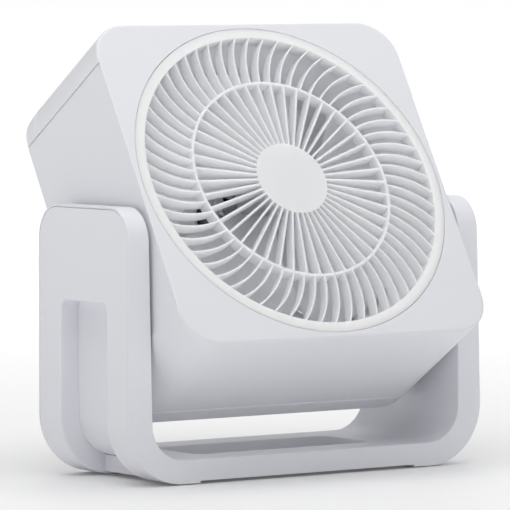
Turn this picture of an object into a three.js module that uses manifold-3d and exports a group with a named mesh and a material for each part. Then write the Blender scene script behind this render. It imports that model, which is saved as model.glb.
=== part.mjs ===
// Box fan: a square fan head that tilts between the two arms of a U-shaped stand.
//
// Millimetres, +Z up. X runs from left to right for someone who faces the fan, and Y runs away
// from them, so the air leaves towards -Y. The origin is on the floor, under the middle of the
// whole fan as it stands with its head tilted back.
//
// The head's own parts are drawn upright, about the axis of the blades: X to the right, Y towards
// the back of the head and Z towards its top. Nested groups then tilt the head about its pivot.

import * as THREE from "three";
import { mergeVertices } from "three/addons/utils/BufferGeometryUtils.js";
import Module from "manifold-3d";

const wasm = await Module();
wasm.setup();

// ---- Driving dimensions ----

const GAP = 0.3; // left between pieces that touch
const STAND_DEPTH = 125.2;
const STAND_HEIGHT = 195.5;
const STAND_CENTRE_Y = -10.39; // the stand's middle, ahead of the whole fan's middle
const ARM_TOP_RADIUS = 24.4; // the arms' upper corners, seen from the side
// The stand's two U contours, seen from the front: half width at the floor and at the arms' tops,
// height of the bottom line, and radius of the two bottom corners.
const STAND_OUTSIDE = { halfFloor: 150, halfTop: 148, floor: 0.6, radius: 44.3 };
const STAND_INSIDE = { halfFloor: 130.2, halfTop: 131.8, floor: 17.5, radius: 25.7 };

const HEAD_HALF = 129.2; // half the head's width and half its height
const HEAD_DEPTH = 122.2;
const HEAD_CORNER = 29.1;
const TILT = THREE.MathUtils.degToRad(31.2); // how far the head leans back as it stands
const PIVOT_HEIGHT = 166.8;
const HEAD_RISE = 16.2; // from the pivot up to the blades' axis, along the upright head

const GRILLE_RADIUS = 124.7;
const GRILLE_DEPTH = 10;
const OUTER_RIBS = { count: 60, innerEnd: 80, outerEnd: 117, rib: 1.3 };
const INNER_RIBS = { count: 45, innerEnd: 28.5, outerEnd: 78, rib: 1.5 };
const BLADE_TIP_RADIUS = 104;
const BLADE_COUNT = 5;

// ---- Sizes that follow from them, or that belong to one piece ----

const FRONT = -HEAD_DEPTH / 2; // the head's front face, in its own Y
const REAR = HEAD_DEPTH / 2;
const PANEL = 3; // thickness of the front panel
const WALL = 2.6; // the head's other walls
const LIP = 1.5; // what is left of the front panel's edge ahead of a side cover
const SEAM = 99; // half height of the flat side covers
const COVER = { outside: 128.4, inside: 126.4 }; // the side covers' faces, in X
const REAR_SEAM = 42.2; // where the front housing ends and the rear cover begins
const EDGE = 2; // rounding of the head's front and rear edges
const POST = { x: 117.5, z: 60, radius: 5 }; // posts that hold the rear cover
const EAR = { at: 103, radius: 6.5 }; // the shroud's four lugs, in X and in Z

const RIM_SIDES = 90; // straight sides of the grille's rim and of its hole
// The rear intake's two rings of slots, and the width of the ribs between them.
const INTAKE = [
  { count: 28, innerEnd: 29, outerEnd: 61, rib: 2.2 },
  { count: 48, innerEnd: 65, outerEnd: 107, rib: 2.4 },
];
const INTAKE_RIM = { inner: 26.5, outer: 109.5, depth: 8 }; // the ribs' depth, and where they end

const SHROUD = { mouth: 119, throat: 108, front: FRONT + GRILLE_DEPTH + GAP, throatAt: -30, rear: 38 };
const MOTOR = { radius: 38, front: -12, rear: 34, core: 22, axle: 4, bearing: 8, bore: 20 };
const CUP = { radius: 42, front: 12, wall: 2.2 };
const MOTOR_BOLT_RADIUS = 33;
const HUB = { radius: 24, front: -46, rear: -18 };

const PLATE = 3.4; // thickness of the stand's outer shell
const SHELL = 2.6; // the inner shell's front, rear and top walls
const WEB = 3.6; // the inner shell's wall that faces the head
const RIM = 1.4; // the inner shell's thin edge, round the outer shell
// The recess in each arm's outer face, which ends under the corner of the base.
const WINDOW = { half: 32, top: 128, radius: 7, end: 113.3 };
const FLANGE = 2.2; // the recess's side and end walls
const BASE_PANEL = { under: 3, over: 5.2 }; // the outer shell's floor between the two recesses
const BASE_OPENING = { x: 75.5, y: 31.6, radius: 10, lip: 2 };
const FOOT_RELIEF = { half: 91, height: 2.2 }; // the base's middle, lifted off the floor
const FOOT = { x: 98.3, y: 47, width: 11, length: 22, height: 1.5 };
const STAND_SCREW = { x: 60, y: 47, boss: 5, bossHeight: 4.6, well: 4.2, wellWall: 2 };
const SCREW_HOLE = 2.2; // radius of the hole round a screw's shank

const TRUNNION = { radius: 11, flange: 17, inside: 123, outside: 136 };
const KNOB = { at: 100, radius: 15, height: 14 };
const INLET = { at: -100, radius: 6.5, bore: 3.3 };

// ---- Shapes and solids ----

// A closed three.js geometry as a solid, facing out whichever way its faces were wound.
function solidFrom(geometry) {
  const bare = geometry.clone();
  bare.deleteAttribute("normal");
  bare.deleteAttribute("uv");
  const merged = mergeVertices(bare, 1e-4);
  const corners = merged.getAttribute("position");
  const [a, b, c] = [new THREE.Vector3(), new THREE.Vector3(), new THREE.Vector3()];
  const faces = [];
  let volume = 0;
  for (let i = 0; i < merged.index.count; i += 3) {
    const face = [merged.index.getX(i), merged.index.getX(i + 1), merged.index.getX(i + 2)];
    if (new Set(face).size < 3) continue;
    a.fromBufferAttribute(corners, face[0]);
    b.fromBufferAttribute(corners, face[1]);
    c.fromBufferAttribute(corners, face[2]);
    volume += a.dot(b.cross(c));
    faces.push(face);
  }
  if (volume < 0) faces.forEach((face) => face.reverse());
  const mesh = { numProp: 3, vertProperties: corners.array, triVerts: new Uint32Array(faces.flat()) };
  return new wasm.Manifold(new wasm.Mesh(mesh));
}

function geometryFrom(solid) {
  const mesh = solid.getMesh();
  const indexed = new THREE.BufferGeometry();
  indexed.setAttribute("position", new THREE.BufferAttribute(mesh.vertProperties, 3));
  indexed.setIndex(new THREE.BufferAttribute(mesh.triVerts, 1));
  const geometry = indexed.toNonIndexed();
  geometry.computeVertexNormals();
  return geometry;
}

const join = (...solids) => solids.reduce((whole, next) => whole.add(next));
const cut = (solid, ...tools) => tools.reduce((rest, tool) => rest.subtract(tool), solid);

const ARC_STEPS = 3; // a quarter circle in an outline gets twice as many sides

function extruded(shape, depth, options = {}) {
  const settings = { depth, bevelEnabled: false, curveSegments: ARC_STEPS, steps: 1, ...options };
  return new THREE.ExtrudeGeometry(shape, settings);
}

// An outline in X and Z, from one Y to another.
function frontPlate(shape, yLow, yHigh) {
  return solidFrom(extruded(shape, yHigh - yLow).rotateX(Math.PI / 2).translate(0, yHigh, 0));
}

// An outline in Y and Z, from one X to another.
function sidePlate(shape, xLow, xHigh) {
  const turn = new THREE.Matrix4().set(0, 0, 1, xLow, 1, 0, 0, 0, 0, 1, 0, 0, 0, 0, 0, 1);
  return solidFrom(extruded(shape, xHigh - xLow).applyMatrix4(turn));
}

// An outline in X and Y, from one Z to another.
function floorPlate(shape, zLow, zHigh, curveSegments = ARC_STEPS) {
  return solidFrom(extruded(shape, zHigh - zLow, { curveSegments }).translate(0, 0, zLow));
}

function block(x, y, z) {
  const box = new THREE.BoxGeometry(x[1] - x[0], y[1] - y[0], z[1] - z[0]);
  return solidFrom(box.translate((x[0] + x[1]) / 2, (y[0] + y[1]) / 2, (z[0] + z[1]) / 2));
}

// A closed profile of [radius, distance along the axis] points, turned about X, Y or Z.
function turned(axis, profile, segments = 24) {
  const points = [...profile, profile[0]].map(([radius, along]) => new THREE.Vector2(radius, along));
  const lathe = new THREE.LatheGeometry(points, segments);
  if (axis === "x") lathe.rotateZ(-Math.PI / 2);
  if (axis === "z") lathe.rotateX(Math.PI / 2);
  return solidFrom(lathe);
}

function rod(axis, radius, from, to, segments = 10) {
  return turned(axis, [[0, from], [radius, from], [radius, to], [0, to]], segments);
}

function tube(axis, outer, inner, from, to, segments = 20) {
  return turned(axis, [[inner, from], [outer, from], [outer, to], [inner, to]], segments);
}

function roundedRectangle(halfWidth, halfHeight, radius) {
  const shape = new THREE.Shape();
  const x = halfWidth - radius;
  const y = halfHeight - radius;
  shape.absarc(x, y, radius, 0, Math.PI / 2);
  shape.absarc(-x, y, radius, Math.PI / 2, Math.PI);
  shape.absarc(-x, -y, radius, Math.PI, 1.5 * Math.PI);
  shape.absarc(x, -y, radius, 1.5 * Math.PI, 2 * Math.PI);
  return shape;
}

const polygon = (points) => new THREE.Shape(points.map(([x, y]) => new THREE.Vector2(x, y)));
const polar = (radius, angle) => [radius * Math.cos(angle), radius * Math.sin(angle)];
const bothSides = [["left", -1], ["right", 1]];
const fourCorners = [
  ["front_left", -1, -1],
  ["front_right", 1, -1],
  ["rear_left", -1, 1],
  ["rear_right", 1, 1],
];
const headCorners = [
  ["top_left", -1, 1],
  ["top_right", 1, 1],
  ["bottom_left", -1, -1],
  ["bottom_right", 1, -1],
];

// ---- Materials ----

const plastic = (color, roughness = 0.5) => () =>
  new THREE.MeshStandardMaterial({ color, roughness, metalness: 0 });
const metal = (color, roughness = 0.35) => () =>
  new THREE.MeshStandardMaterial({ color, roughness, metalness: 1 });

const housingWhite = plastic(0xe4e7ec, 0.45);
const standWhite = plastic(0xdcdde2, 0.5);
const grilleWhite = plastic(0xe9eaf0, 0.45);
const bladeGrey = plastic(0xd6d6dc, 0.4);
const blackRubber = plastic(0x2b2b2d, 0.85);
const darkPlastic = plastic(0x3a3b3f, 0.6);
const steel = metal(0xb9bbbe, 0.35);
const laminations = metal(0x6f7276, 0.55);
const copper = metal(0xb8683a, 0.4);
const bronze = metal(0xa98446, 0.5);

function addPiece(group, name, solid, material) {
  const mesh = new THREE.Mesh(geometryFrom(solid), material());
  mesh.name = name;
  group.add(mesh);
  return mesh;
}

// ---- Fasteners ----

// A pan-head screw along an axis: its head bears on `seat`, and its pointed shank ends at `tip`.
function screw(axis, seat, tip, headRadius = 3.5, shankRadius = 1.9) {
  const away = Math.sign(seat - tip);
  return turned(axis, [
    [0, seat + 2.1 * away],
    [headRadius, seat + 1.4 * away],
    [headRadius, seat],
    [shankRadius, seat],
    [shankRadius, tip + shankRadius * away],
    [0, tip],
  ], 8);
}

// ---- Stand ----

// A contour moved inwards, towards the head, by a distance; outwards where it is negative.
function moved(contour, inwards) {
  return {
    halfFloor: contour.halfFloor - inwards,
    halfTop: contour.halfTop - inwards,
    floor: contour.floor + inwards,
    radius: contour.radius - inwards,
  };
}

// The contour's points, from the top of the left arm round the base to the top of the right arm.
function contourPoints({ halfFloor, halfTop, floor, radius }) {
  const top = STAND_HEIGHT + 10;
  const corner = { x: halfFloor - radius, z: floor + radius };
  const rightHalf = [];
  const steps = 7;
  for (let i = 0; i <= steps; i++) {
    const [x, z] = polar(radius, (-Math.PI / 2) * (1 - i / steps));
    rightHalf.push([corner.x + x, corner.z + z]);
  }
  rightHalf.push([halfTop, top]);
  const leftHalf = rightHalf.map(([x, z]) => [-x, z]).reverse();
  return [...leftHalf, ...rightHalf];
}

// The stand's arms and base between two contours, over its whole depth.
function band(outer, inner) {
  const outline = [...contourPoints(outer), ...contourPoints(inner).reverse()];
  return frontPlate(polygon(outline), -STAND_DEPTH, STAND_DEPTH);
}

// The stand's outline from the side, shrunk by an inset, over its whole width.
function sideProfile(inset) {
  const half = STAND_DEPTH / 2 - inset;
  const radius = ARM_TOP_RADIUS - inset;
  const top = STAND_HEIGHT - inset;
  const shape = new THREE.Shape();
  shape.moveTo(-half, -50);
  shape.lineTo(half, -50);
  shape.absarc(half - radius, top - radius, radius, 0, Math.PI / 2);
  shape.absarc(radius - half, top - radius, radius, Math.PI / 2, Math.PI);
  return sidePlate(shape, -200, 200);
}

// Both arms' pockets, which open downwards and have two rounded top corners, out from an X.
function windowSlab(grow) {
  const half = WINDOW.half + grow;
  const top = WINDOW.top + grow;
  const radius = WINDOW.radius + grow;
  const end = WINDOW.end - grow;
  const shape = new THREE.Shape();
  shape.moveTo(-half, -50);
  shape.lineTo(half, -50);
  shape.absarc(half - radius, top - radius, radius, 0, Math.PI / 2);
  shape.absarc(radius - half, top - radius, radius, Math.PI / 2, Math.PI);
  return cut(sidePlate(shape, -200, 200), block([-end, end], [-100, 100], [-60, 60]));
}

// The upright hole through the base, or the lip round it.
function baseOpening(low, high, grow = 0) {
  const { x, y, radius } = BASE_OPENING;
  return floorPlate(roundedRectangle(x + grow, y + grow, radius + grow), low, high);
}

const footRelief = () =>
  block([-FOOT_RELIEF.half, FOOT_RELIEF.half], [-100, 100], [-10, FOOT_RELIEF.height]);

// The U-shaped trough that faces the head, with the front, rear and top faces of the stand.
function standInnerShell() {
  const outside = moved(STAND_OUTSIDE, -8);
  const whole = band(STAND_OUTSIDE, STAND_INSIDE).intersect(sideProfile(0));
  const hollow = band(outside, moved(STAND_INSIDE, -WEB)).intersect(sideProfile(SHELL));
  const rebate = band(outside, moved(STAND_OUTSIDE, PLATE + GAP)).intersect(sideProfile(RIM));
  const lip = baseOpening(BASE_PANEL.over + GAP, STAND_INSIDE.floor - 1, BASE_OPENING.lip);
  let shell = join(cut(whole, hollow, rebate), lip);
  shell = cut(shell, baseOpening(-10, 40), footRelief());
  const { boss, bossHeight } = STAND_SCREW;
  const webUnder = STAND_INSIDE.floor - WEB;
  for (const [, sx, sy] of fourCorners) {
    const at = [sx * STAND_SCREW.x, sy * STAND_SCREW.y, 0];
    shell = shell.add(rod("z", boss, webUnder - bossHeight, webUnder + 1).translate(at));
    shell = shell.subtract(rod("z", SCREW_HOLE, webUnder - 6, webUnder + 1.4).translate(at));
  }
  const pivot = rod("x", TRUNNION.radius + GAP, -200, 200, 24).translate([0, 0, PIVOT_HEIGHT]);
  return shell.subtract(pivot);
}

// Where the outer shell's screw wells end, just under the inner shell's bosses.
const WELL_TOP = STAND_INSIDE.floor - WEB - STAND_SCREW.bossHeight - GAP;

// The plate that closes the trough, with a recess in each arm and a raised floor between them.
function standOuterShell() {
  const plate = band(STAND_OUTSIDE, moved(STAND_OUTSIDE, PLATE)).intersect(sideProfile(RIM + GAP));
  const deep = band(STAND_OUTSIDE, moved(STAND_INSIDE, -WEB - GAP));
  const walls = deep.intersect(windowSlab(FLANGE));
  const { under, over } = BASE_PANEL;
  const side = WINDOW.half + FLANGE;
  const panel = block([-WINDOW.end, WINDOW.end], [-side, side], [under, over]);
  const below = block(
    [-WINDOW.end - 1, WINDOW.end + 1], [-WINDOW.half, WINDOW.half], [-10, under]);
  let shell = cut(join(plate, walls, panel), windowSlab(0), below, footRelief());
  shell = cut(shell, baseOpening(-10, 40));
  const { well, wellWall } = STAND_SCREW;
  for (const [, sx, sy] of fourCorners) {
    const at = [sx * STAND_SCREW.x, sy * STAND_SCREW.y, 0];
    shell = shell.add(rod("z", well + wellWall, FOOT_RELIEF.height, WELL_TOP).translate(at));
    shell = shell.subtract(rod("z", well, -5, WELL_TOP - wellWall).translate(at));
    shell = shell.subtract(rod("z", SCREW_HOLE, -5, WELL_TOP + 1).translate(at));
    const seat = roundedRectangle(FOOT.width / 2 + GAP, FOOT.length / 2 + GAP, 3);
    const footAt = [sx * FOOT.x, sy * FOOT.y, 0];
    shell = shell.subtract(floorPlate(seat, -5, FOOT.height + GAP, 1).translate(footAt));
  }
  return shell;
}

function rubberFoot() {
  return floorPlate(roundedRectangle(FOOT.width / 2, FOOT.length / 2, 3), 0, FOOT.height, 1);
}

function buildStand(group) {
  addPiece(group, "stand_inner_shell", standInnerShell(), standWhite);
  addPiece(group, "stand_outer_shell", standOuterShell(), standWhite);
  const seat = WELL_TOP - STAND_SCREW.wellWall - GAP;
  for (const [corner, sx, sy] of fourCorners) {
    const foot = addPiece(group, "rubber_foot_" + corner, rubberFoot(), blackRubber);
    foot.position.set(sx * FOOT.x, sy * FOOT.y, 0);
    const fastener = screw("z", seat, STAND_INSIDE.floor - WEB + 0.8);
    const placed = addPiece(group, "stand_screw_" + corner, fastener, steel);
    placed.position.set(sx * STAND_SCREW.x, sy * STAND_SCREW.y, 0);
  }
}

// ---- Tilt pivots ----

// A hollow stub on a flange: the flange lies inside the side cover and the stub turns in the arm.
function trunnion() {
  const { radius, flange, inside, outside } = TRUNNION;
  const face = COVER.inside - GAP;
  return turned("x", [
    [0, inside],
    [flange, inside],
    [flange, face],
    [radius, face],
    [radius, outside],
    [SCREW_HOLE, outside],
    [SCREW_HOLE, outside - 9],
    [0, outside - 9],
  ]);
}

// Pieces are drawn for the right side, and a half turn about Z puts them on the left.
function buildPivots(head) {
  for (const [side, sx] of bothSides) {
    const pivot = new THREE.Group();
    pivot.position.z = -HEAD_RISE;
    pivot.rotation.z = sx > 0 ? 0 : Math.PI;
    head.add(pivot);
    const { radius, outside } = TRUNNION;
    const washer = tube("x", 17, radius + GAP, COVER.outside + GAP, COVER.outside + 2.4);
    addPiece(pivot, "pivot_trunnion_" + side, trunnion(), housingWhite);
    addPiece(pivot, "tilt_friction_washer_" + side, washer, blackRubber);
    const keeper = tube("x", 14, SCREW_HOLE, outside + GAP, outside + GAP + 1.5);
    addPiece(pivot, "pivot_keeper_washer_" + side, keeper, steel);
    const fastener = screw("x", outside + 2 * GAP + 1.5, outside - 8, 4.2);
    addPiece(pivot, "pivot_screw_" + side, fastener, steel);
  }
}

// ---- Head casing ----

// The head's rounded square box between two depths, with rounded front and rear edges.
function roundedBox(yLow, yHigh) {
  const outline = roundedRectangle(HEAD_HALF, HEAD_HALF, HEAD_CORNER);
  const bevel = { bevelEnabled: true, bevelThickness: EDGE, bevelSize: EDGE, bevelOffset: -EDGE };
  const body = extruded(outline, yHigh - yLow - 2 * EDGE, { ...bevel, bevelSegments: 2 });
  return solidFrom(body.rotateX(Math.PI / 2).translate(0, yHigh - EDGE, 0));
}

const headInside = (yLow, yHigh) =>
  frontPlate(roundedRectangle(HEAD_HALF - WALL, HEAD_HALF - WALL, HEAD_CORNER - WALL), yLow, yHigh);

// What lies outside a given X on both sides, between the two seams.
function sideCuts(x, yLow, yHigh) {
  return bothSides.map(([, sx]) =>
    block(sx > 0 ? [x, 200] : [-200, -x], [yLow, yHigh], [-SEAM, SEAM]));
}

// Front panel, top, bottom and corners in one moulding, open at the sides and the back.
function frontHousing() {
  let housing = cut(
    roundedBox(FRONT, REAR),
    headInside(FRONT + PANEL, REAR + 5),
    block([-200, 200], [REAR_SEAM, REAR + 5], [-200, 200]),
    rod("y", GRILLE_RADIUS + 0.6, FRONT - 5, FRONT + PANEL + 5, RIM_SIDES),
    ...sideCuts(COVER.outside, FRONT - 5, REAR),
    ...sideCuts(COVER.inside - GAP, FRONT + LIP, REAR),
  );
  for (const [, sx, sz] of headCorners) {
    const post = [sx * POST.x, 0, sz * POST.z];
    housing = housing.add(rod("y", POST.radius, FRONT + PANEL - 1, REAR_SEAM).translate(post));
    housing = housing.subtract(rod("y", SCREW_HOLE, REAR_SEAM - 15, REAR_SEAM + 1).translate(post));
    const ear = [sx * EAR.at, 0, sz * EAR.at];
    housing = housing.add(rod("y", 4.5, FRONT + PANEL - 1, SHROUD.front - GAP).translate(ear));
    housing = housing.subtract(rod("y", SCREW_HOLE, FRONT + PANEL - 0.5, SHROUD.front).translate(ear));
  }
  return housing;
}

// A flat plate between the corner roundings, with a hole for its trunnion.
function sideCover() {
  const front = FRONT + LIP + GAP;
  const middle = (front + REAR) / 2;
  const outline = roundedRectangle((REAR - front) / 2, SEAM - GAP, 1);
  const plate = sidePlate(outline, COVER.inside, COVER.outside).translate([0, middle, 0]);
  const hole = rod("x", TRUNNION.radius + GAP, COVER.inside - 5, COVER.outside + 5, 24);
  return plate.subtract(hole.translate([0, 0, -HEAD_RISE]));
}

// The openings between straight ribs, as a ring of narrow holes in an outline. `start` is in ribs.
function ribGaps({ count, innerEnd, outerEnd, rib }, start = 0) {
  const holes = [];
  for (let i = 0; i < count; i++) {
    const [left, right] = [start + i, start + i + 1].map((k) => (2 * Math.PI * k) / count);
    const inset = (radius) => rib / 2 / radius;
    holes.push(polygon([
      polar(innerEnd, left + inset(innerEnd)),
      polar(outerEnd, left + inset(outerEnd)),
      polar(outerEnd, right - inset(outerEnd)),
      polar(innerEnd, right - inset(innerEnd)),
    ]));
  }
  return holes;
}

// The cap that closes the back, with the round air intake, the knob's hole and the cord's inlet.
function rearCover() {
  let cover = cut(
    roundedBox(FRONT, REAR),
    block([-200, 200], [FRONT - 5, REAR_SEAM + GAP], [-200, 200]),
    headInside(FRONT, REAR - WALL),
    ...sideCuts(COVER.inside - GAP, FRONT, REAR + 5),
  );
  const liner = COVER.inside - GAP - 2; // the low side walls, behind the side covers
  for (const [, sx] of bothSides) {
    const wall = sx > 0 ? [liner, liner + 2] : [-liner - 2, -liner];
    cover = cover.add(block(wall, [REAR_SEAM + GAP, REAR - 1], [-SEAM - 1, SEAM + 1]));
  }
  for (const [, sx, sz] of headCorners) {
    const post = [sx * POST.x, 0, sz * POST.z];
    cover = cover.add(rod("y", 5.6, REAR_SEAM + GAP, REAR - 1).translate(post));
    cover = cover.subtract(rod("y", SCREW_HOLE, REAR_SEAM - 1, REAR + 1).translate(post));
    cover = cover.subtract(rod("y", 4.2, REAR - 5, REAR + 1).translate(post));
  }
  const deep = REAR - INTAKE_RIM.depth;
  cover = cover.add(turned("y", [
    [INTAKE_RIM.inner, deep],
    [INTAKE_RIM.outer, deep],
    [INTAKE_RIM.outer, REAR - 1],
    [INTAKE_RIM.inner, REAR - 1],
  ], 48));
  const gaps = INTAKE.flatMap((ring) => ribGaps(ring));
  const intake = gaps.map((gap) => frontPlate(gap, REAR - 10, REAR + 5));
  return cut(
    cover,
    wasm.Manifold.union(intake),
    rod("y", 4.3, REAR - 10, REAR + 5).translate([KNOB.at, 0, KNOB.at]),
    rod("y", INLET.radius + GAP, REAR - 10, REAR + 5, 16).translate([INLET.at, 0, INLET.at]),
  );
}

// ---- Front grille ----

// How far an outer rib has turned, clockwise from the front, on its way out to a radius.
function ribSweep(radius) {
  const { innerEnd, outerEnd } = OUTER_RIBS;
  const along = (radius - innerEnd) / (outerEnd - innerEnd);
  return -THREE.MathUtils.degToRad(3.1 * along + 4.5 * along * along);
}

function curvedRibGaps({ count, innerEnd, outerEnd, rib }) {
  const steps = 3;
  const edge = (turn, side) => {
    const points = [];
    for (let i = 0; i <= steps; i++) {
      const radius = innerEnd + ((outerEnd - innerEnd) * i) / steps;
      points.push(polar(radius, turn + ribSweep(radius) + (side * rib) / 2 / radius));
    }
    return points;
  };
  const holes = [];
  for (let i = 0; i < count; i++) {
    const [left, right] = [i, i + 1].map((k) => (2 * Math.PI * k) / count);
    holes.push(polygon([...edge(left, 1), ...edge(right, -1).reverse()]));
  }
  return holes;
}

// One moulding: outer ring, swept ribs, middle ring, straight ribs and a plain centre disc.
function frontGrille() {
  const outline = new THREE.Shape();
  for (let i = 0; i < RIM_SIDES; i++) {
    const [x, z] = polar(GRILLE_RADIUS, (2 * Math.PI * i) / RIM_SIDES);
    if (i === 0) outline.moveTo(x, z);
    else outline.lineTo(x, z);
  }
  outline.holes = [...curvedRibGaps(OUTER_RIBS), ...ribGaps(INNER_RIBS, 0.5)];
  const discBack = rod("y", INNER_RIBS.innerEnd - 2, FRONT + 2.5, FRONT + GRILLE_DEPTH + 5, 24);
  return frontPlate(outline, FRONT, FRONT + GRILLE_DEPTH).subtract(discBack);
}

// ---- Inside the head ----

// The round duct with its mouth, lugs, spokes and motor cup, in one moulding.
function fanShroud() {
  const { mouth, throat, front, throatAt, rear } = SHROUD;
  const wall = 2.2;
  const flange = front + 2;
  let shroud = turned("y", [
    [mouth, front],
    [GRILLE_RADIUS + 0.4, front],
    [GRILLE_RADIUS + 0.4, flange],
    [mouth + wall, flange],
    [throat + wall, throatAt],
    [throat + wall, rear],
    [throat, rear],
    [throat, throatAt],
  ], 48);
  const cupBack = rear - CUP.wall;
  const cup = cut(
    rod("y", CUP.radius, CUP.front, rear, 24),
    rod("y", CUP.radius - CUP.wall, CUP.front - 5, cupBack, 24),
    rod("y", 10, cupBack - 5, rear + 5, 12),
  );
  shroud = shroud.add(cup);
  for (const [, sx, sz] of headCorners) {
    const turn = Math.atan2(sz, sx);
    const spoke = block([CUP.radius - 1.5, throat + 1], [rear - 12, rear], [-1.6, 1.6]);
    shroud = shroud.add(spoke.rotate([0, THREE.MathUtils.radToDeg(-turn), 0]));
    const reach = EAR.at * Math.SQRT2;
    const lug = join(
      block([GRILLE_RADIUS - 2, reach], [front, flange], [-EAR.radius, EAR.radius]),
      rod("y", EAR.radius, front, flange).translate([reach, 0, 0]),
    );
    const hole = rod("y", SCREW_HOLE, front - 5, flange + 5).translate([reach, 0, 0]);
    shroud = shroud.add(lug.subtract(hole).rotate([0, THREE.MathUtils.radToDeg(-turn), 0]));
  }
  for (const [, sx] of bothSides) {
    const at = [sx * MOTOR_BOLT_RADIUS, 0, 0];
    shroud = shroud.subtract(rod("y", SCREW_HOLE, cupBack - 5, rear + 5).translate(at));
  }
  return shroud;
}

const boltHoles = (from, to) =>
  bothSides.map(([, sx]) =>
    rod("y", SCREW_HOLE, from, to).translate([sx * MOTOR_BOLT_RADIUS, 0, 0]));

// A pressed end shield: a shallow cup with a bearing seat. `end` is its flat outer face.
function motorShield(end, rim) {
  const { radius, bearing } = MOTOR;
  const skin = 1.8 * Math.sign(rim - end);
  const shield = turned("y", [
    [bearing + GAP, end],
    [radius, end],
    [radius, rim],
    [radius - 1.8, rim],
    [radius - 1.8, end + skin],
    [bearing + 2.2, end + skin],
    [bearing + 2.2, end + 3.4 * skin],
    [bearing + GAP, end + 3.4 * skin],
  ]);
  return cut(shield, ...boltHoles(Math.min(end, rim) - 5, Math.max(end, rim) + 5));
}

const SLOT_COUNT = 8;
const slotBars = (halfWidth, halfHeight, from, to) =>
  Array.from({ length: SLOT_COUNT }, (_, i) =>
    block([27 - halfWidth, 27 + halfWidth], [from, to], [-halfHeight, halfHeight])
      .rotate([0, (360 / SLOT_COUNT) * (i + 0.5), 0]));

// The laminated steel core, with slots for the windings.
function statorCore() {
  const { radius, bore, core } = MOTOR;
  const ring = tube("y", radius - 0.5, bore, GAP, core - GAP);
  return cut(ring, ...slotBars(3, 4, -5, core + 5), ...boltHoles(-5, core + 5));
}

// The copper: two rings of end turns, joined by the sides that run through the core's slots.
function statorWindings() {
  const { core } = MOTOR;
  const ring = (from, to) => tube("y", 31, 23, from, to, 24);
  return join(ring(-7, -0.5), ring(core + 0.5, core + 7), ...slotBars(2.6, 3.6, -3, core + 3));
}

function motorBearing(end) {
  const away = Math.sign(end);
  return tube("y", MOTOR.bearing, MOTOR.axle + GAP, Math.min(end, end - 5.5 * away),
    Math.max(end, end - 5.5 * away));
}

function motorBolt() {
  return screw("y", MOTOR.front - GAP, SHROUD.rear + 2);
}

function buildMotor(axis) {
  const { front, rear, core } = MOTOR;
  addPiece(axis, "motor_front_shield", motorShield(front, 0), steel);
  addPiece(axis, "motor_rear_shield", motorShield(rear, core), steel);
  addPiece(axis, "stator_core", statorCore(), laminations);
  addPiece(axis, "stator_windings", statorWindings(), copper);
  addPiece(axis, "motor_front_bearing", motorBearing(front), bronze);
  addPiece(axis, "motor_rear_bearing", motorBearing(rear), bronze);
  for (const [side, sx] of bothSides) {
    const bolt = addPiece(axis, "motor_bolt_" + side, motorBolt(), steel);
    bolt.position.x = sx * MOTOR_BOLT_RADIUS;
  }
}

// ---- Rotor ----

// A thin grid bent into one blade: x runs out along the radius, y across the blade, z through it.
function bladeSolid() {
  const grid = new THREE.BoxGeometry(1, 1, 1, 4, 5, 1);
  const corners = grid.getAttribute("position");
  const root = HUB.radius - 1.5;
  for (let i = 0; i < corners.count; i++) {
    const out = corners.getX(i) + 0.5;
    const across = corners.getY(i);
    const radius = root + (BLADE_TIP_RADIUS - root) * out;
    const spread = THREE.MathUtils.degToRad(52 + 12 * out);
    const [x, z] = polar(radius, across * spread + THREE.MathUtils.degToRad(14 * out));
    const rise = (24 - 4 * out) * -across;
    corners.setXYZ(i, x, (HUB.front + HUB.rear) / 2 + 1 + rise + 1.8 * corners.getZ(i), z);
  }
  return solidFrom(grid);
}

function fanBlade() {
  const { radius, front, rear } = HUB;
  const { axle } = MOTOR;
  const hub = turned("y", [
    [axle + GAP, front],
    [radius - 4, front],
    [radius, front + 4],
    [radius, rear],
    [radius - 2, rear],
    [radius - 2, front + 5],
    [radius - 5, front + 2.5],
    [axle + 5, front + 2.5],
    [axle + 5, rear - 3],
    [axle + GAP, rear - 3],
  ]);
  const inside = rod("y", radius - 1.8, front + 4, rear + 20, 24);
  const blades = Array.from({ length: BLADE_COUNT }, (_, i) =>
    bladeSolid().rotate([0, (360 / BLADE_COUNT) * i, 0]));
  return hub.add(cut(wasm.Manifold.union(blades), inside));
}

function buildRotor(axis) {
  const { axle, core, bore } = MOTOR;
  addPiece(axis, "fan_blade", fanBlade(), bladeGrey);
  const shaft = rod("y", axle, HUB.front - 3.4, MOTOR.rear - 0.5, 24);
  addPiece(axis, "motor_shaft", shaft, steel);
  addPiece(axis, "rotor_core", tube("y", bore - 0.7, axle + GAP, 1, core - 1), laminations);
  const nut = turned("y", [
    [axle + GAP, HUB.front - 5], [8, HUB.front - 5], [9, HUB.front - 4], [9, HUB.front - GAP],
    [axle + GAP, HUB.front - GAP],
  ], 12);
  addPiece(axis, "blade_nut", nut, darkPlastic);
}

// ---- Controls and cord inlet ----

function speedKnob() {
  const base = REAR + 0.6;
  const { radius, height } = KNOB;
  const body = turned("y", [
    [0, base + 2],
    [3.3, base + 2],
    [3.3, base],
    [radius, base],
    [radius, base + 4],
    [radius - 2, base + 4.6],
    [radius - 2.6, base + height - 1],
    [radius - 3.6, base + height],
    [0, base + height],
  ], 24);
  const grip = block([-1.1, 1.1], [base + height - 1.2, base + height + 5], [3, radius]);
  return body.subtract(grip);
}

function speedSwitch() {
  const half = 13;
  const back = REAR - WALL - GAP;
  return cut(
    block([-half, half], [back - 18, back], [-half, half]),
    rod("y", 3.3, back - 8, back + 5, 16),
  );
}

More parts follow.
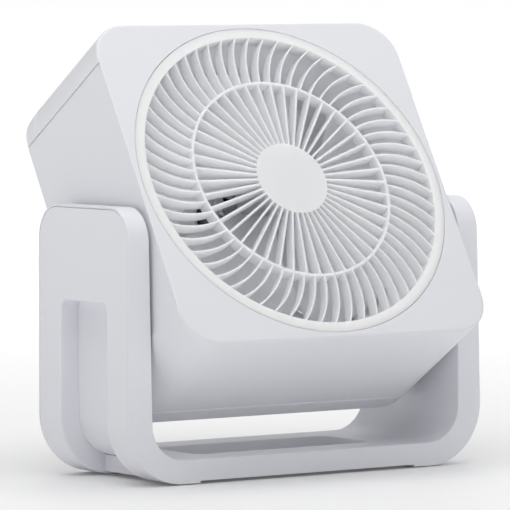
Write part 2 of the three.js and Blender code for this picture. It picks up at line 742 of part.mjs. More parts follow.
function cordInlet() {
  const { radius, bore } = INLET;
  const back = REAR - WALL - GAP;
  return turned("y", [
    [bore, back - 3],
    [radius + 2.5, back - 3],
    [radius + 2.5, back],
    [radius, back],
    [radius, REAR + 2],
    [radius - 1.5, REAR + 5],
    [bore, REAR + 5],
  ], 16);
}

function capacitor() {
  const outline = roundedRectangle(17, 11, 2);
  return frontPlate(outline, 8, 36);
}

function buildControls(axis) {
  const knob = new THREE.Group();
  knob.position.set(KNOB.at, 0, KNOB.at);
  axis.add(knob);
  addPiece(knob, "speed_switch", speedSwitch(), darkPlastic);
  addPiece(knob, "speed_switch_shaft", rod("y", 3, REAR - WALL - 8, REAR + 2.3), steel);
  addPiece(knob, "speed_knob", speedKnob(), housingWhite);
  const inlet = addPiece(axis, "cord_inlet", cordInlet(), housingWhite);
  inlet.position.set(INLET.at, 0, INLET.at);
  const run = addPiece(axis, "motor_capacitor", capacitor(), darkPlastic);
  run.position.set(98, 0, -98);
}

// ---- Head ----

function buildHead(axis) {
  addPiece(axis, "front_housing", frontHousing(), housingWhite);
  addPiece(axis, "front_grille", frontGrille(), grilleWhite);
  addPiece(axis, "rear_cover", rearCover(), housingWhite);
  addPiece(axis, "fan_shroud", fanShroud(), housingWhite);
  for (const [side, sx] of bothSides) {
    const cover = sx > 0 ? sideCover() : sideCover().mirror([1, 0, 0]);
    addPiece(axis, "side_cover_" + side, cover, housingWhite);
  }
  for (const [corner, sx, sz] of headCorners) {
    const rearScrew = screw("y", REAR - 5 + GAP, REAR_SEAM - 13);
    const back = addPiece(axis, "rear_cover_screw_" + corner, rearScrew, steel);
    back.position.set(sx * POST.x, 0, sz * POST.z);
    const lugScrew = screw("y", SHROUD.front + 2 + GAP, FRONT + PANEL + 0.6);
    const front = addPiece(axis, "shroud_screw_" + corner, lugScrew, steel);
    front.position.set(sx * EAR.at, 0, sz * EAR.at);
  }
}

// ---- Assembly ----

const fan = new THREE.Group();
fan.position.y = STAND_CENTRE_Y;
buildStand(fan);

const tiltingHead = new THREE.Group();
tiltingHead.position.z = PIVOT_HEIGHT;
tiltingHead.rotation.x = -TILT;
fan.add(tiltingHead);

const bladeAxis = new THREE.Group();
bladeAxis.position.z = HEAD_RISE;
tiltingHead.add(bladeAxis);
buildHead(bladeAxis);
buildPivots(bladeAxis);
buildMotor(bladeAxis);
buildRotor(bladeAxis);
buildControls(bladeAxis);

export default fan;
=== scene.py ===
"""Box fan: a square fan head that tilts between the arms of a U-shaped stand.

Lengths are in millimetres in the shapes and in metres in Blender. X runs to the right of someone
who faces the fan, Y away from them, Z up. The head's pieces are drawn upright about the blades'
axis, with Y towards the back, and placed by HEAD_PLACE.
"""

import math

import bmesh
import bpy
from mathutils import Matrix, Vector


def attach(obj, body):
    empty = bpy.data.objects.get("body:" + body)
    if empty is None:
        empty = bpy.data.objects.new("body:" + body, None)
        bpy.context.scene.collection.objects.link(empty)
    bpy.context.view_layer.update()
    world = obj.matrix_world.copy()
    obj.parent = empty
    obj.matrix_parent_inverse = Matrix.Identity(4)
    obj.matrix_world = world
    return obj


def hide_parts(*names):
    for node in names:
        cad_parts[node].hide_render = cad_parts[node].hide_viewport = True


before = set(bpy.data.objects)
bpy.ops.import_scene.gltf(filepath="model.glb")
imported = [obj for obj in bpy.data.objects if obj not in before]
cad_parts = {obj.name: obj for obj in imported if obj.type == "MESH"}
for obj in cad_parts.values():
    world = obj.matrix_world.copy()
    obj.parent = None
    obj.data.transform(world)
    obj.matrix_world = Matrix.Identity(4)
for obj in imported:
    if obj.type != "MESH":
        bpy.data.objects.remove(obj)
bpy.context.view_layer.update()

MM = 0.001
TAU = 2 * math.pi

# ---- Sizes shared with the part ----

GAP = 0.3
STAND_CENTRE_Y = -10.39
STAND_DEPTH = 125.2
ARM_TOP_RADIUS = 24.4
TILT = math.radians(31.2)
PIVOT_HEIGHT = 166.8
HEAD_RISE = 16.2

HEAD_HALF = 129.2
HEAD_CORNER = 29.1
FRONT = -61.1
REAR = 61.1
PANEL = 3.0
WALL = 2.6
LIP = 1.5
SEAM = 99.0
COVER_OUT = 128.4
COVER_IN = 126.4
REAR_SEAM = 42.2
EDGE = 2.0
GRILLE_RADIUS = 124.7
GRILLE_DEPTH = 10.0
SHROUD_FRONT = FRONT + GRILLE_DEPTH + GAP
SHROUD_FLANGE = SHROUD_FRONT + 2
SCREW_HOLE = 2.2  # radius of the hole round a screw's shank
SCREW_WELL = 4.2  # radius of the hole round a screw's head
WELL_DEPTH = 5.0
PIVOT = 11.0  # radius of the trunnions
PIVOT_HOLE = PIVOT + GAP
PIVOT_FLANGE = 17.0
PIVOT_END = 136.0
KEEPER_TOP = PIVOT_END + 1.8
POST_X, POST_Z = 117.5, 60.0  # the posts that hold the rear cover
EAR_AT = 103.0  # the shroud's four lugs, in X and in Z
KNOB_AT = 100.0  # the speed knob, in X and in Z
INLET_AT = -100.0  # the cord inlet, in X and in Z
CAPACITOR_AT = 98.0  # the capacitor, in X and downwards
BOLT_AT = 33.0  # the motor's through bolts, in X
BLADES = 5

FOUR_CORNERS = (
    ("front_left", -1, -1),
    ("front_right", 1, -1),
    ("rear_left", -1, 1),
    ("rear_right", 1, 1),
)
HEAD_CORNERS = (
    ("top_left", -1, 1),
    ("top_right", 1, 1),
    ("bottom_left", -1, -1),
    ("bottom_right", 1, -1),
)
SIDES = (("left", -1), ("right", 1))

STAND_PLACE = Matrix.Translation((0, STAND_CENTRE_Y, 0))
HEAD_PLACE = (
    Matrix.Translation((0, STAND_CENTRE_Y, PIVOT_HEIGHT))
    @ Matrix.Rotation(-TILT, 4, "X")
    @ Matrix.Translation((0, 0, HEAD_RISE))
)
HALF_TURN = Matrix.Rotation(math.pi, 4, "Z")


# ---- Outlines ----


def arc(cx, cy, radius, start, end, steps):
    """Points on an arc, both ends included; angles in degrees."""
    points = []
    for i in range(steps + 1):
        a = math.radians(start + (end - start) * i / steps)
        points.append((cx + radius * math.cos(a), cy + radius * math.sin(a)))
    return points


def rounded_rectangle(half_x, half_y, radius, steps=8):
    x, y = half_x - radius, half_y - radius
    return (
        arc(x, y, radius, 0, 90, steps)
        + arc(-x, y, radius, 90, 180, steps)
        + arc(-x, -y, radius, 180, 270, steps)
        + arc(x, -y, radius, 270, 360, steps)
    )


def circle(radius, steps, cx=0.0, cy=0.0):
    return arc(cx, cy, radius, 0, 360 * (steps - 1) / steps, steps - 1)


def offset(loop, inset):
    """A counter-clockwise outline moved inwards; outwards where the inset is negative."""
    moved = []
    count = len(loop)
    for i in range(count):
        before, here, after = (Vector(loop[(i + k) % count]) for k in (-1, 0, 1))
        one, two = (here - before).normalized(), (after - here).normalized()
        n1, n2 = Vector((-one.y, one.x)), Vector((-two.y, two.x))
        mitre = (n1 + n2) / max(1 + n1.dot(n2), 0.3)
        moved.append(tuple(here + mitre * inset))
    return moved


def rounding(d0, a0, d1, a1, steps=4, convex=True):
    """(inset, height) points of a quarter round between two ends, both included."""
    points = []
    for i in range(steps + 1):
        t = math.pi / 2 * i / steps
        if convex:
            points.append((d0 + (d1 - d0) * math.sin(t), a0 + (a1 - a0) * (1 - math.cos(t))))
        else:
            points.append((d0 + (d1 - d0) * (1 - math.cos(t)), a0 + (a1 - a0) * math.sin(t)))
    return points


def rounded_profile(profile, steps=3):
    """A closed profile; a point's third number is the radius that its corner is rounded to."""
    points = []
    count = len(profile)
    for i, corner in enumerate(profile):
        here = Vector(corner[:2])
        radius = corner[2] if len(corner) > 2 else 0
        back = Vector(profile[i - 1][:2]) - here
        ahead = Vector(profile[(i + 1) % count][:2]) - here
        if radius <= 0 or back.length < 1e-6 or ahead.length < 1e-6:
            points.append(tuple(here))
            continue
        half = back.angle(ahead) / 2
        reach = min(radius / math.tan(half), 0.49 * back.length, 0.49 * ahead.length)
        start, end = here + back.normalized() * reach, here + ahead.normalized() * reach
        for k in range(steps + 1):
            t = k / steps
            points.append(tuple(start * (1 - t) ** 2 + here * 2 * t * (1 - t) + end * t * t))
    return points


# ---- Solids ----

# Where a drawing's two axes and its height go, for each direction of the height.
AXES = {
    "x": lambda a, b, c: (c, a, b),
    "y": lambda a, b, c: (a, c, b),
    "z": lambda a, b, c: (a, b, c),
}


def closed(bm):
    bmesh.ops.remove_doubles(bm, verts=bm.verts, dist=1e-5)
    bmesh.ops.recalc_face_normals(bm, faces=bm.faces)
    return bm


def add_ring(bm, loop, height, axis):
    return [bm.verts.new(AXES[axis](x, y, height)) for x, y in loop]


def bridge(bm, one, two):
    count = len(one)
    for i in range(count):
        j = (i + 1) % count
        bm.faces.new((one[i], one[j], two[j], two[i]))


def plate(outline, stations, axis="y", holes=(), hole_stations=None):
    """A solid that follows an outline through stations of (inset, height), capped at both ends.

    Holes go right through, and follow their own stations outwards."""
    bm = bmesh.new()
    rims = ([], [])
    for loop, sign, steps in [(outline, 1, stations)] + [
        (hole, -1, hole_stations or stations) for hole in holes
    ]:
        rings = [add_ring(bm, offset(loop, sign * d), a, axis) for d, a in steps]
        for one, two in zip(rings, rings[1:]):
            bridge(bm, one, two)
        rims[0].append(rings[0])
        rims[1].append(rings[-1])
    for rim in rims:
        if len(rim) == 1:
            bm.faces.new(rim[0])
            continue
        edges = []
        for ring in rim:
            for i, vert in enumerate(ring):
                edges.append(bm.edges.get((vert, ring[(i + 1) % len(ring)])))
        bmesh.ops.triangle_fill(bm, edges=edges, use_beauty=True)
    return closed(bm)


def turned(profile, axis="y", steps=64, corner_steps=3):
    """A closed profile of (radius, distance along the axis, corner radius) turned round."""
    bm = bmesh.new()
    rings = []
    for radius, along in rounded_profile(profile, corner_steps):
        if radius < 1e-6:
            rings.append([bm.verts.new(AXES[axis](0, 0, along))])
            continue
        loop = circle(radius, steps)
        rings.append(add_ring(bm, loop, along, axis))
    for one, two in zip(rings, rings[1:] + rings[:1]):
        if len(one) == 1 and len(two) == 1:
            continue
        if len(one) == 1 or len(two) == 1:
            tip, ring = (one[0], two) if len(one) == 1 else (two[0], one)
            for i in range(steps):
                bm.faces.new((tip, ring[i], ring[(i + 1) % steps]))
            continue
        bridge(bm, one, two)
    return closed(bm)


def rod(radius, low, high, axis="y", steps=32, flare=0.0):
    """A cylinder, or a cutter that widens where it comes out of a face."""
    profile = [(0, low), (radius, low), (radius, high - 2 * flare)]
    if flare:
        profile += [(radius + 2 * flare, high)]
    return turned(profile + [(0, high)], axis, steps)


def block(x, y, z):
    bm = bmesh.new()
    bmesh.ops.create_cube(bm, size=1)
    for vert in bm.verts:
        vert.co = [
            low + (high - low) * (c + 0.5) for c, (low, high) in zip(vert.co, (x, y, z))
        ]
    return bm


def placed(bm, *matrices):
    """The same shape moved by each matrix in turn, the last one first."""
    whole = Matrix.Identity(4)
    for matrix in matrices:
        whole = whole @ matrix
    bm.transform(whole)
    if whole.determinant() < 0:
        bmesh.ops.reverse_faces(bm, faces=bm.faces)
    return bm


def shifted(bm, x=0.0, y=0.0, z=0.0):
    return placed(bm, Matrix.Translation((x, y, z)))


def loose_object(bm, name="tool"):
    mesh = bpy.data.meshes.new(name)
    bm.to_mesh(mesh)
    bm.free()
    obj = bpy.data.objects.new(name, mesh)
    bpy.context.scene.collection.objects.link(obj)
    return obj


def discard(obj):
    mesh = obj.data
    bpy.data.objects.remove(obj)
    bpy.data.meshes.remove(mesh)


def combined(first, *steps):
    """A solid joined with, or cut by, others: each step is ("add" or "cut", solid)."""
    base = loose_object(first, "base")
    tools = []
    for how, bm in steps:
        tool = loose_object(bm)
        modifier = base.modifiers.new(how, "BOOLEAN")
        modifier.operation = "UNION" if how == "add" else "DIFFERENCE"
        modifier.solver = "MANIFOLD"
        modifier.object = tool
        tools.append(tool)
    bpy.context.view_layer.update()
    graph = bpy.context.evaluated_depsgraph_get()
    result = bmesh.new()
    result.from_mesh(base.evaluated_get(graph).to_mesh())
    discard(base)
    for tool in tools:
        discard(tool)
    bmesh.ops.remove_doubles(result, verts=result.verts, dist=1e-4)
    bmesh.ops.dissolve_degenerate(result, edges=result.edges, dist=1e-4)
    return result


def merged(*solids):
    """Several closed solids that don't meet, in one mesh."""
    whole = bmesh.new()
    for bm in solids:
        mesh = bpy.data.meshes.new("part")
        bm.to_mesh(mesh)
        bm.free()
        whole.from_mesh(mesh)
        bpy.data.meshes.remove(mesh)
    return whole


# ---- Materials ----


def node(tree, kind, **inputs):
    made = tree.nodes.new(kind)
    for key, value in inputs.items():
        if key in made.inputs:
            made.inputs[key].default_value = value
        else:
            setattr(made, key, value)
    return made


def noise(tree, coords, scale, detail=3.0):
    made = node(tree, "ShaderNodeTexNoise", Scale=scale, Detail=detail)
    tree.links.new(coords, made.inputs["Vector"])
    return made.outputs["Fac"]


def spread(tree, value, low, high):
    """The middle part of a 0..1 value stretched to a range."""
    ends = {"From Min": 0.3, "From Max": 0.7, "To Min": low, "To Max": high}
    made = node(tree, "ShaderNodeMapRange", **ends)
    tree.links.new(value, made.inputs["Value"])
    return made.outputs["Result"]


def shaded(name, colour, roughness, metallic=0.0, tint=0.02, vary=0.03, grain=(1800, 0.06),
           stretch=None, depth=0.0):
    """A Principled material with slight drift in colour and roughness and a fine surface grain.

    Light goes `depth` millimetres into a plastic that isn't quite opaque."""
    material = bpy.data.materials.new(name)
    material.use_nodes = True
    tree = material.node_tree
    shader = tree.nodes["Principled BSDF"]
    shader.inputs["Metallic"].default_value = metallic
    shader.inputs["IOR"].default_value = 1.46
    if depth:
        shader.inputs["Subsurface Weight"].default_value = 1.0
        shader.inputs["Subsurface Radius"].default_value = (1.0, 0.97, 0.91)
        shader.inputs["Subsurface Scale"].default_value = depth * MM
    coords = tree.nodes.new("ShaderNodeTexCoord").outputs["Object"]
    if stretch:
        mapping = node(tree, "ShaderNodeMapping", Scale=stretch)
        tree.links.new(coords, mapping.inputs["Vector"])
        coords = mapping.outputs["Vector"]
    drift = noise(tree, coords, 9.0)
    mix = node(tree, "ShaderNodeMix", data_type="RGBA")
    darker = [c * (1 - tint) for c in colour]
    lighter = [min(c * (1 + tint), 1) for c in colour]
    mix.inputs[6].default_value = (*darker, 1)
    mix.inputs[7].default_value = (*lighter, 1)
    tree.links.new(spread(tree, drift, 0, 1), mix.inputs[0])
    tree.links.new(mix.outputs[2], shader.inputs["Base Color"])
    cloud = noise(tree, coords, 70.0)
    tree.links.new(
        spread(tree, cloud, roughness - vary, roughness + vary), shader.inputs["Roughness"]
    )
    bump = node(tree, "ShaderNodeBump", Strength=grain[1], Distance=0.0001)
    tree.links.new(noise(tree, coords, grain[0], 4.0), bump.inputs["Height"])
    tree.links.new(bump.outputs["Normal"], shader.inputs["Normal"])
    return material


HOUSING_WHITE = shaded("satin housing white", (0.815, 0.825, 0.862), 0.42, tint=0.006)
STAND_WHITE = shaded("satin stand white", (0.835, 0.84, 0.885), 0.48, tint=0.006, grain=(1500, 0.09))
GRILLE_WHITE = shaded(
    "satin grille white", (0.935, 0.95, 0.99), 0.4, tint=0.006, grain=(2200, 0.05), depth=5.0
)
BLADE_WHITE = shaded(
    "smooth blade plastic", (0.965, 0.972, 0.99), 0.3, tint=0.006, grain=(2500, 0.03), depth=12.0
)
# The fan shroud is the housing's white plastic, made lighter than the housing as painted light in the shade
# inside the head.
DUCT_LIGHTENED_WHITE = shaded("smooth housing plastic lightened as painted light", (0.965, 0.97, 0.985), 0.36, tint=0.006, grain=(2000, 0.05))
KNOB_WHITE = shaded("satin knob plastic", (0.78, 0.79, 0.82), 0.38, tint=0.008)
DARK_PLASTIC = shaded("plain dark plastic", (0.035, 0.035, 0.038), 0.5, tint=0.08)
RUBBER = shaded("matt rubber", (0.02, 0.02, 0.021), 0.8, tint=0.12, vary=0.06, grain=(900, 0.3))
SCREW_STEEL = shaded(
    "zinc-plated steel", (0.62, 0.63, 0.65), 0.34, 1.0, tint=0.04, vary=0.06, grain=(2600, 0.12)
)
MOTOR_STEEL = shaded(
    "pressed steel", (0.55, 0.56, 0.58), 0.36, 1.0, tint=0.05, vary=0.08, grain=(1400, 0.15)
)
LAMINATIONS = shaded(
    "stacked steel sheets", (0.2, 0.2, 0.21), 0.5, 1.0, tint=0.12, vary=0.08,
    grain=(1100, 0.5), stretch=(0.15, 2.2, 0.15),
)
COPPER = shaded("enamelled copper", (0.55, 0.2, 0.075), 0.3, 1.0, tint=0.12, vary=0.06)
BRONZE = shaded("sintered bronze", (0.42, 0.26, 0.1), 0.5, 1.0, tint=0.15, vary=0.08, grain=(1700, 0.4))

SMOOTH_ANGLE = math.radians(32)


def show(name, bm, material, body, replaced=(), place=None):
    """A finished piece: its shape in millimetres goes to its place, smooth but for sharp edges."""
    if place is not None:
        placed(bm, place)
    bm.transform(Matrix.Scale(MM, 4))
    bmesh.ops.recalc_face_normals(bm, faces=bm.faces)
    obj = loose_object(bm, name)
    obj.data.shade_smooth()
    obj.data.set_sharp_from_angle(angle=SMOOTH_ANGLE)
    obj.data.materials.append(material)
    weighted = obj.modifiers.new("weighted", "WEIGHTED_NORMAL")
    weighted.keep_sharp = True
    weighted.weight = 90
    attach(obj, body)
    if replaced:
        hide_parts(*replaced)
    return obj


# ---- Stand ----
#
# Both shells are drawn as a flat strip: X along the U, Y across it and Z from its outside to its
# inside. Then the strip is sliced at its corners and bent into the U.

BAND = 18.0  # the strip's thickness; the U's is 16.9 in the base, and 19.8 narrowing to 16.4 in the arms
FLAT = 105.1  # half length of the base
TURN = 55.0  # the strip's length round a corner
ARM = 151.5  # the strip's length up an arm
U_OUTSIDE = {"centre": (105.7, 44.9), "radius": 44.3, "foot": 150.0, "top": 148.1245}
U_INSIDE = {"centre": (104.5, 43.2), "radius": 25.7, "foot": 130.2, "top": 131.7014}
ARM_TOP = 195.5
PLATE = 3.4  # thickness of the outer shell
WEB = 3.6  # thickness of the trough's floor
RIM = 1.4  # width of the inner shell's rim round the outer shell
SHELL = 2.6  # thickness of the trough's walls
FLANGE = 2.2  # thickness of the walls round the recess
BASE_SCALE = BAND / 16.9  # the strip's height for a millimetre of height in the base
FLOOR_LINE = 0.6


def u_point(contour, along):
    """A point of one of the U's contours, in X and Z, at a distance along the strip."""
    (cx, cz), radius = contour["centre"], contour["radius"]
    if along <= FLAT:
        return Vector((cx * along / FLAT, cz - radius))
    if along <= FLAT + TURN:
        a = (along - FLAT) / TURN * math.pi / 2
        return Vector((cx + radius * math.sin(a), cz - radius * math.cos(a)))
    k = (along - FLAT - TURN) / ARM
    return Vector((contour["foot"] + (contour["top"] - contour["foot"]) * k, cz + (ARM_TOP - cz) * k))


def bent(bm, slices=18):
    """The flat strip cut into slices at its two corners, and bent into the U."""
    for side in (-1, 1):
        for i in range(slices + 1):
            at = side * (FLAT + TURN * i / slices)
            bmesh.ops.bisect_plane(
                bm,
                geom=bm.verts[:] + bm.edges[:] + bm.faces[:],
                plane_co=(at, 0, 0),
                plane_no=(1, 0, 0),
                dist=1e-4,
            )
    for vert in bm.verts:
        along, across, height = vert.co
        outside, inside = (u_point(c, abs(along)) for c in (U_OUTSIDE, U_INSIDE))
        x, z = outside.lerp(inside, height / BAND)
        vert.co = (math.copysign(x, along), across, z)
    return bm


def arm_station(height, contour=U_INSIDE):
    """The distance along the strip at which the arm reaches a height."""
    foot = contour["centre"][1]
    return FLAT + TURN + ARM * (height - foot) / (ARM_TOP - foot)


def in_base(height):
    """The strip's height for a height above the floor, in the base."""
    return (height - FLOOR_LINE) * BASE_SCALE


STRIP_OUTLINE = rounded_rectangle(FLAT + TURN + ARM, STAND_DEPTH / 2, ARM_TOP_RADIUS, 14)
WINDOW_HALF = 32.0  # half width of the recess in each arm
WINDOW_RADIUS = 7.0
WINDOW_TOP = 128.0
WINDOW_END = arm_station(WINDOW_TOP, U_OUTSIDE)
RECESS_END = 113.3
BASE_FLOOR = 3.0
BASE_FLOOR_TOP = 5.2
OPENING_X = 75.5
OPENING_Y = 31.6
OPENING_RADIUS = 10.0
OPENING_LIP = 2.0
SCREW_X, SCREW_Y = 60.0, 47.0  # the screws that hold the two shells together
FOOT_X, FOOT_Y = 98.3, 47.0
FOOT_HALF_X, FOOT_HALF_Y, FOOT_TOP = 5.5, 11.0, 1.5
SCREW_SEAT, WELL_TOP, SCREW_TIP = 7.0, 9.0, 14.7  # heights above the floor
SCREW_ALONG, FOOT_ALONG = 59.9, 98.1  # where the screws and the feet come on the strip
RELIEF = 91.0  # half length of the base that is lifted off the floor
RELIEF_TOP = in_base(2.2)
BASE_OPENING = rounded_rectangle(OPENING_X, OPENING_Y, OPENING_RADIUS, 10)


def foot_relief():
    return block((-RELIEF, RELIEF), (-90, 90), (-10, RELIEF_TOP))


def stand_inner_shell():
    floor_of_trough = BAND - WEB
    brim = 0.9
    stations = rounding(0, BAND - brim, brim, BAND, 4, False)[::-1]
    stations += rounding(0, 0.4, 0.4, 0, 3, False)
    stations += rounding(RIM - 0.2, 0, RIM, 0.2, 2)
    stations += [(RIM, PLATE + GAP), (SHELL, PLATE + GAP), (SHELL, floor_of_trough)]
    shell = plate(STRIP_OUTLINE, stations, "z")
    lip = plate(
        rounded_rectangle(
            OPENING_X + OPENING_LIP, OPENING_Y + OPENING_LIP, OPENING_RADIUS + OPENING_LIP, 10
        ),
        [(0, in_base(BASE_FLOOR_TOP + GAP)), (0, BAND - 1)],
        "z",
    )
    soft = 1.2
    through = [(0, -5)] + rounding(0, BAND - soft, -soft, BAND + 0.001, 4, False) + [(-soft, BAND + 5)]
    opening = plate(BASE_OPENING, through, "z")
    pivots = [
        shifted(rod(PIVOT_HOLE, 8, BAND + 0.001, "z", 48, flare=0.3), x=side * arm_station(PIVOT_HEIGHT))
        for side in (-1, 1)
    ]
    bosses, pilots = [], []
    for _, sx, sy in FOUR_CORNERS:
        at = (sx * SCREW_ALONG, sy * SCREW_Y)
        boss = rod(5, in_base(WELL_TOP + GAP), floor_of_trough + 1, "z", 24)
        pilot = rod(SCREW_HOLE, in_base(WELL_TOP), in_base(SCREW_TIP + 2 * GAP), "z", 16)
        bosses.append(shifted(boss, *at))
        pilots.append(shifted(pilot, *at))
    shell = combined(
        shell,
        ("cut", foot_relief()),
        ("add", lip),
        ("cut", opening),
        ("cut", merged(*pivots)),
        ("add", merged(*bosses)),
        ("cut", merged(*pilots)),
    )
    return bent(shell)


def stand_outer_shell():
    edge, soft = RIM + GAP, 0.35
    stations = [(edge, PLATE)] + rounding(edge, soft, edge + soft, 0, 3, False)
    shell = plate(STRIP_OUTLINE, stations, "z")
    back = BAND - WEB - 0.05
    walls = plate(
        rounded_rectangle(WINDOW_END + FLANGE, WINDOW_HALF + FLANGE, WINDOW_RADIUS + FLANGE, 8),
        [(0, 2), (0, back)],
        "z",
    )
    soft = 1.7
    stations = [(-soft, -6)] + rounding(-soft, 0, 0, soft, 6) + [(0, BAND + 5)]
    pocket = plate(rounded_rectangle(WINDOW_END, WINDOW_HALF, WINDOW_RADIUS, 8), stations, "z")
    wells, well_holes, foot_seats = [], [], []
    seat = in_base(SCREW_SEAT)
    for _, sx, sy in FOUR_CORNERS:
        at = (sx * SCREW_ALONG, sy * SCREW_Y)
        wells.append(shifted(rod(SCREW_WELL + 2, RELIEF_TOP, in_base(WELL_TOP), "z", 32), *at))
        well_hole = turned(
            [(0, -5), (SCREW_WELL, -5), (SCREW_WELL, seat), (SCREW_HOLE, seat), (SCREW_HOLE, 14), (0, 14)],
            "z",
            32,
        )
        well_holes.append(shifted(well_hole, *at))
        outline = rounded_rectangle(FOOT_HALF_X + GAP, FOOT_HALF_Y + GAP, 3, 5)
        foot_seat = plate(outline, [(0, -5), (0, in_base(FOOT_TOP + GAP))], "z")
        foot_seats.append(shifted(foot_seat, sx * FOOT_ALONG, sy * FOOT_Y))
    shell = combined(
        shell,
        ("add", walls),
        ("cut", pocket),
        ("cut", foot_relief()),
        ("add", merged(*wells)),
        ("cut", merged(*well_holes)),
        ("cut", merged(*foot_seats)),
    )
    # The raised floor between the two recesses, and the walls that end them under the corners.
    across, end_top = (-WINDOW_HALF - 1, WINDOW_HALF + 1), 14.9
    adds = [("add", block((-RECESS_END, RECESS_END), across, (BASE_FLOOR, BASE_FLOOR_TOP)))]
    for span in ((-RECESS_END, FLANGE - RECESS_END), (RECESS_END - FLANGE, RECESS_END)):
        adds.append(("add", block(span, across, (BASE_FLOOR, end_top))))
    through = plate(BASE_OPENING, [(0, -5), (0, 9)], "z")
    return combined(bent(shell), *adds, ("cut", through))


def rubber_foot():
    outline = rounded_rectangle(FOOT_HALF_X, FOOT_HALF_Y, 3, 6)
    return plate(outline, [(0.5, 0), (0.2, 0.1), (0, 0.4), (0, FOOT_TOP)], "z")


# ---- Fasteners ----


def screw(seat, tip, axis, head=3.5, shank=1.9, thread=1.25):
    """A pan-head screw with a cross recess; its head bears on `seat` and its point is at `tip`."""
    away = 1 if seat > tip else -1
    profile = [(0, seat + 2.1 * away), (head * 0.55, seat + 2.0 * away, 1), (head, seat + 1.1 * away, 0.7)]
    profile += [(head, seat, 0.2), (shank * 0.78, seat)]
    along = seat - thread * away
    while (along - tip) * away > shank + thread:
        profile += [(shank * 0.78, along + 0.25 * thread * away), (shank, along)]
        profile += [(shank * 0.78, along - 0.25 * thread * away)]
        along -= thread * away
    profile += [(shank * 0.72, tip + shank * away), (0, tip)]
    body = turned(profile, axis, 24, 2)
    half, depth = 0.42, 1.5
    span = head * 0.62
    bars = []
    low, high = sorted((seat + (2.1 - depth) * away, seat + 3 * away))
    for a, b in ((span, half), (half, span)):
        bars.append(("cut", block(*AXES[axis]((-a, a), (-b, b), (low, high)))))
    return combined(body, *bars)


# ---- Head casing ----

HEAD_OUTLINE = rounded_rectangle(HEAD_HALF, HEAD_HALF, HEAD_CORNER, 14)


def front_housing():
    edge = EDGE + 0.15
    stations = rounding(edge, FRONT, 0, FRONT + edge, 7)
    stations += rounding(0, REAR_SEAM - 0.25, 0.25, REAR_SEAM, 2, False)
    stations += rounding(WALL - 0.2, REAR_SEAM, WALL, REAR_SEAM - 0.2, 2)
    stations += rounding(WALL, FRONT + PANEL + 1, WALL + 1, FRONT + PANEL, 3, False)
    shell = plate(HEAD_OUTLINE, stations)
    radius, chamfer = GRILLE_RADIUS + GAP, 0.25
    hole = turned(
        [(0, FRONT - 5), (radius + chamfer, FRONT - 5), (radius + chamfer, FRONT),
         (radius, FRONT + chamfer), (radius, FRONT + 12), (0, FRONT + 12)],
        steps=180,
    )
    rebates = []
    for _, side in SIDES:
        for x, low in ((COVER_OUT, FRONT - 5), (COVER_IN - GAP, FRONT + LIP)):
            span = (x, 200) if side > 0 else (-200, -x)
            rebates.append(("cut", block(span, (low, 90), (-SEAM, SEAM))))
    posts, pilots = [], []
    ear_seat = FRONT + GRILLE_DEPTH
    for _, sx, sz in HEAD_CORNERS:
        at = {"x": sx * POST_X, "z": sz * POST_Z}
        posts.append(shifted(rod(5, FRONT + PANEL - 1, REAR_SEAM, steps=24), **at))
        pilots.append(shifted(rod(SCREW_HOLE, REAR_SEAM - 15, REAR_SEAM + 1, steps=16), **at))
        ear = {"x": sx * EAR_AT, "z": sz * EAR_AT}
        posts.append(shifted(rod(4.5, FRONT + PANEL - 1, ear_seat, steps=24), **ear))
        pilots.append(shifted(rod(SCREW_HOLE, FRONT + PANEL - 0.5, ear_seat + 1, steps=16), **ear))
    return combined(shell, ("cut", hole), *rebates, ("add", merged(*posts)), ("cut", merged(*pilots)))


def side_cover():
    """The right-hand cover."""
    low = FRONT + LIP + GAP
    middle = (low + REAR) / 2
    outline = rounded_rectangle((REAR - low) / 2, SEAM - GAP, 1.0, 4)
    stations = [(0, COVER_IN)] + rounding(0, COVER_OUT - 0.4, 0.4, COVER_OUT, 3, False)
    cover = shifted(plate(outline, stations, "x"), y=middle)
    hole = shifted(rod(PIVOT_HOLE, COVER_IN - 5, COVER_OUT + 0.001, "x", 64, flare=0.2), z=-HEAD_RISE)
    return combined(cover, ("cut", hole))


def straight_gap(ring, index, start=0.0, steps=1):
    """The outline of the opening between two straight ribs."""
    inner, outer, rib, count = ring["inner"], ring["outer"], ring["rib"], ring["count"]
    left, right = (TAU * (start + index + k) / count for k in (0, 1))
    points = []
    for k in range(steps + 1):
        radius = inner + (outer - inner) * k / steps
        a = left + rib / 2 / radius
        points.append((radius * math.cos(a), radius * math.sin(a)))
    for k in range(1, 4):
        a = left + rib / 2 / outer + (right - left - rib / outer) * k / 4
        points.append((outer * math.cos(a), outer * math.sin(a)))
    for k in range(steps, -1, -1):
        radius = inner + (outer - inner) * k / steps
        a = right - rib / 2 / radius
        points.append((radius * math.cos(a), radius * math.sin(a)))
    a = (left + right) / 2
    points.append((inner * math.cos(a), inner * math.sin(a)))
    return points[::-1]


INTAKE = (
    {"count": 28, "inner": 29.0, "outer": 61.0, "rib": 2.2},
    {"count": 48, "inner": 65.0, "outer": 107.0, "rib": 2.4},
)


def ccw(loop):
    area = sum(a[0] * b[1] - b[0] * a[1] for a, b in zip(loop, loop[1:] + loop[:1]))
    return loop if area > 0 else loop[::-1]


def dial_mark(number):
    """A groove that shows where the knob points, with as many dots beside it as the speed."""
    a = math.radians(90 + 45 * number)
    start, end, dots_at, pitch, depth = 17.5, 21.0, 23.4, 2.1, 0.5
    groove = block((start, end), (REAR - depth, REAR + 2), (-0.5, 0.5))
    dots = [
        shifted(rod(0.65, REAR - depth, REAR + 2, steps=12), x=dots_at, z=pitch * (k - (number - 1) / 2))
        for k in range(number)
    ]
    marks = placed(merged(groove, *dots), Matrix.Rotation(-a, 4, "Y"))
    return shifted(marks, x=KNOB_AT, z=KNOB_AT)


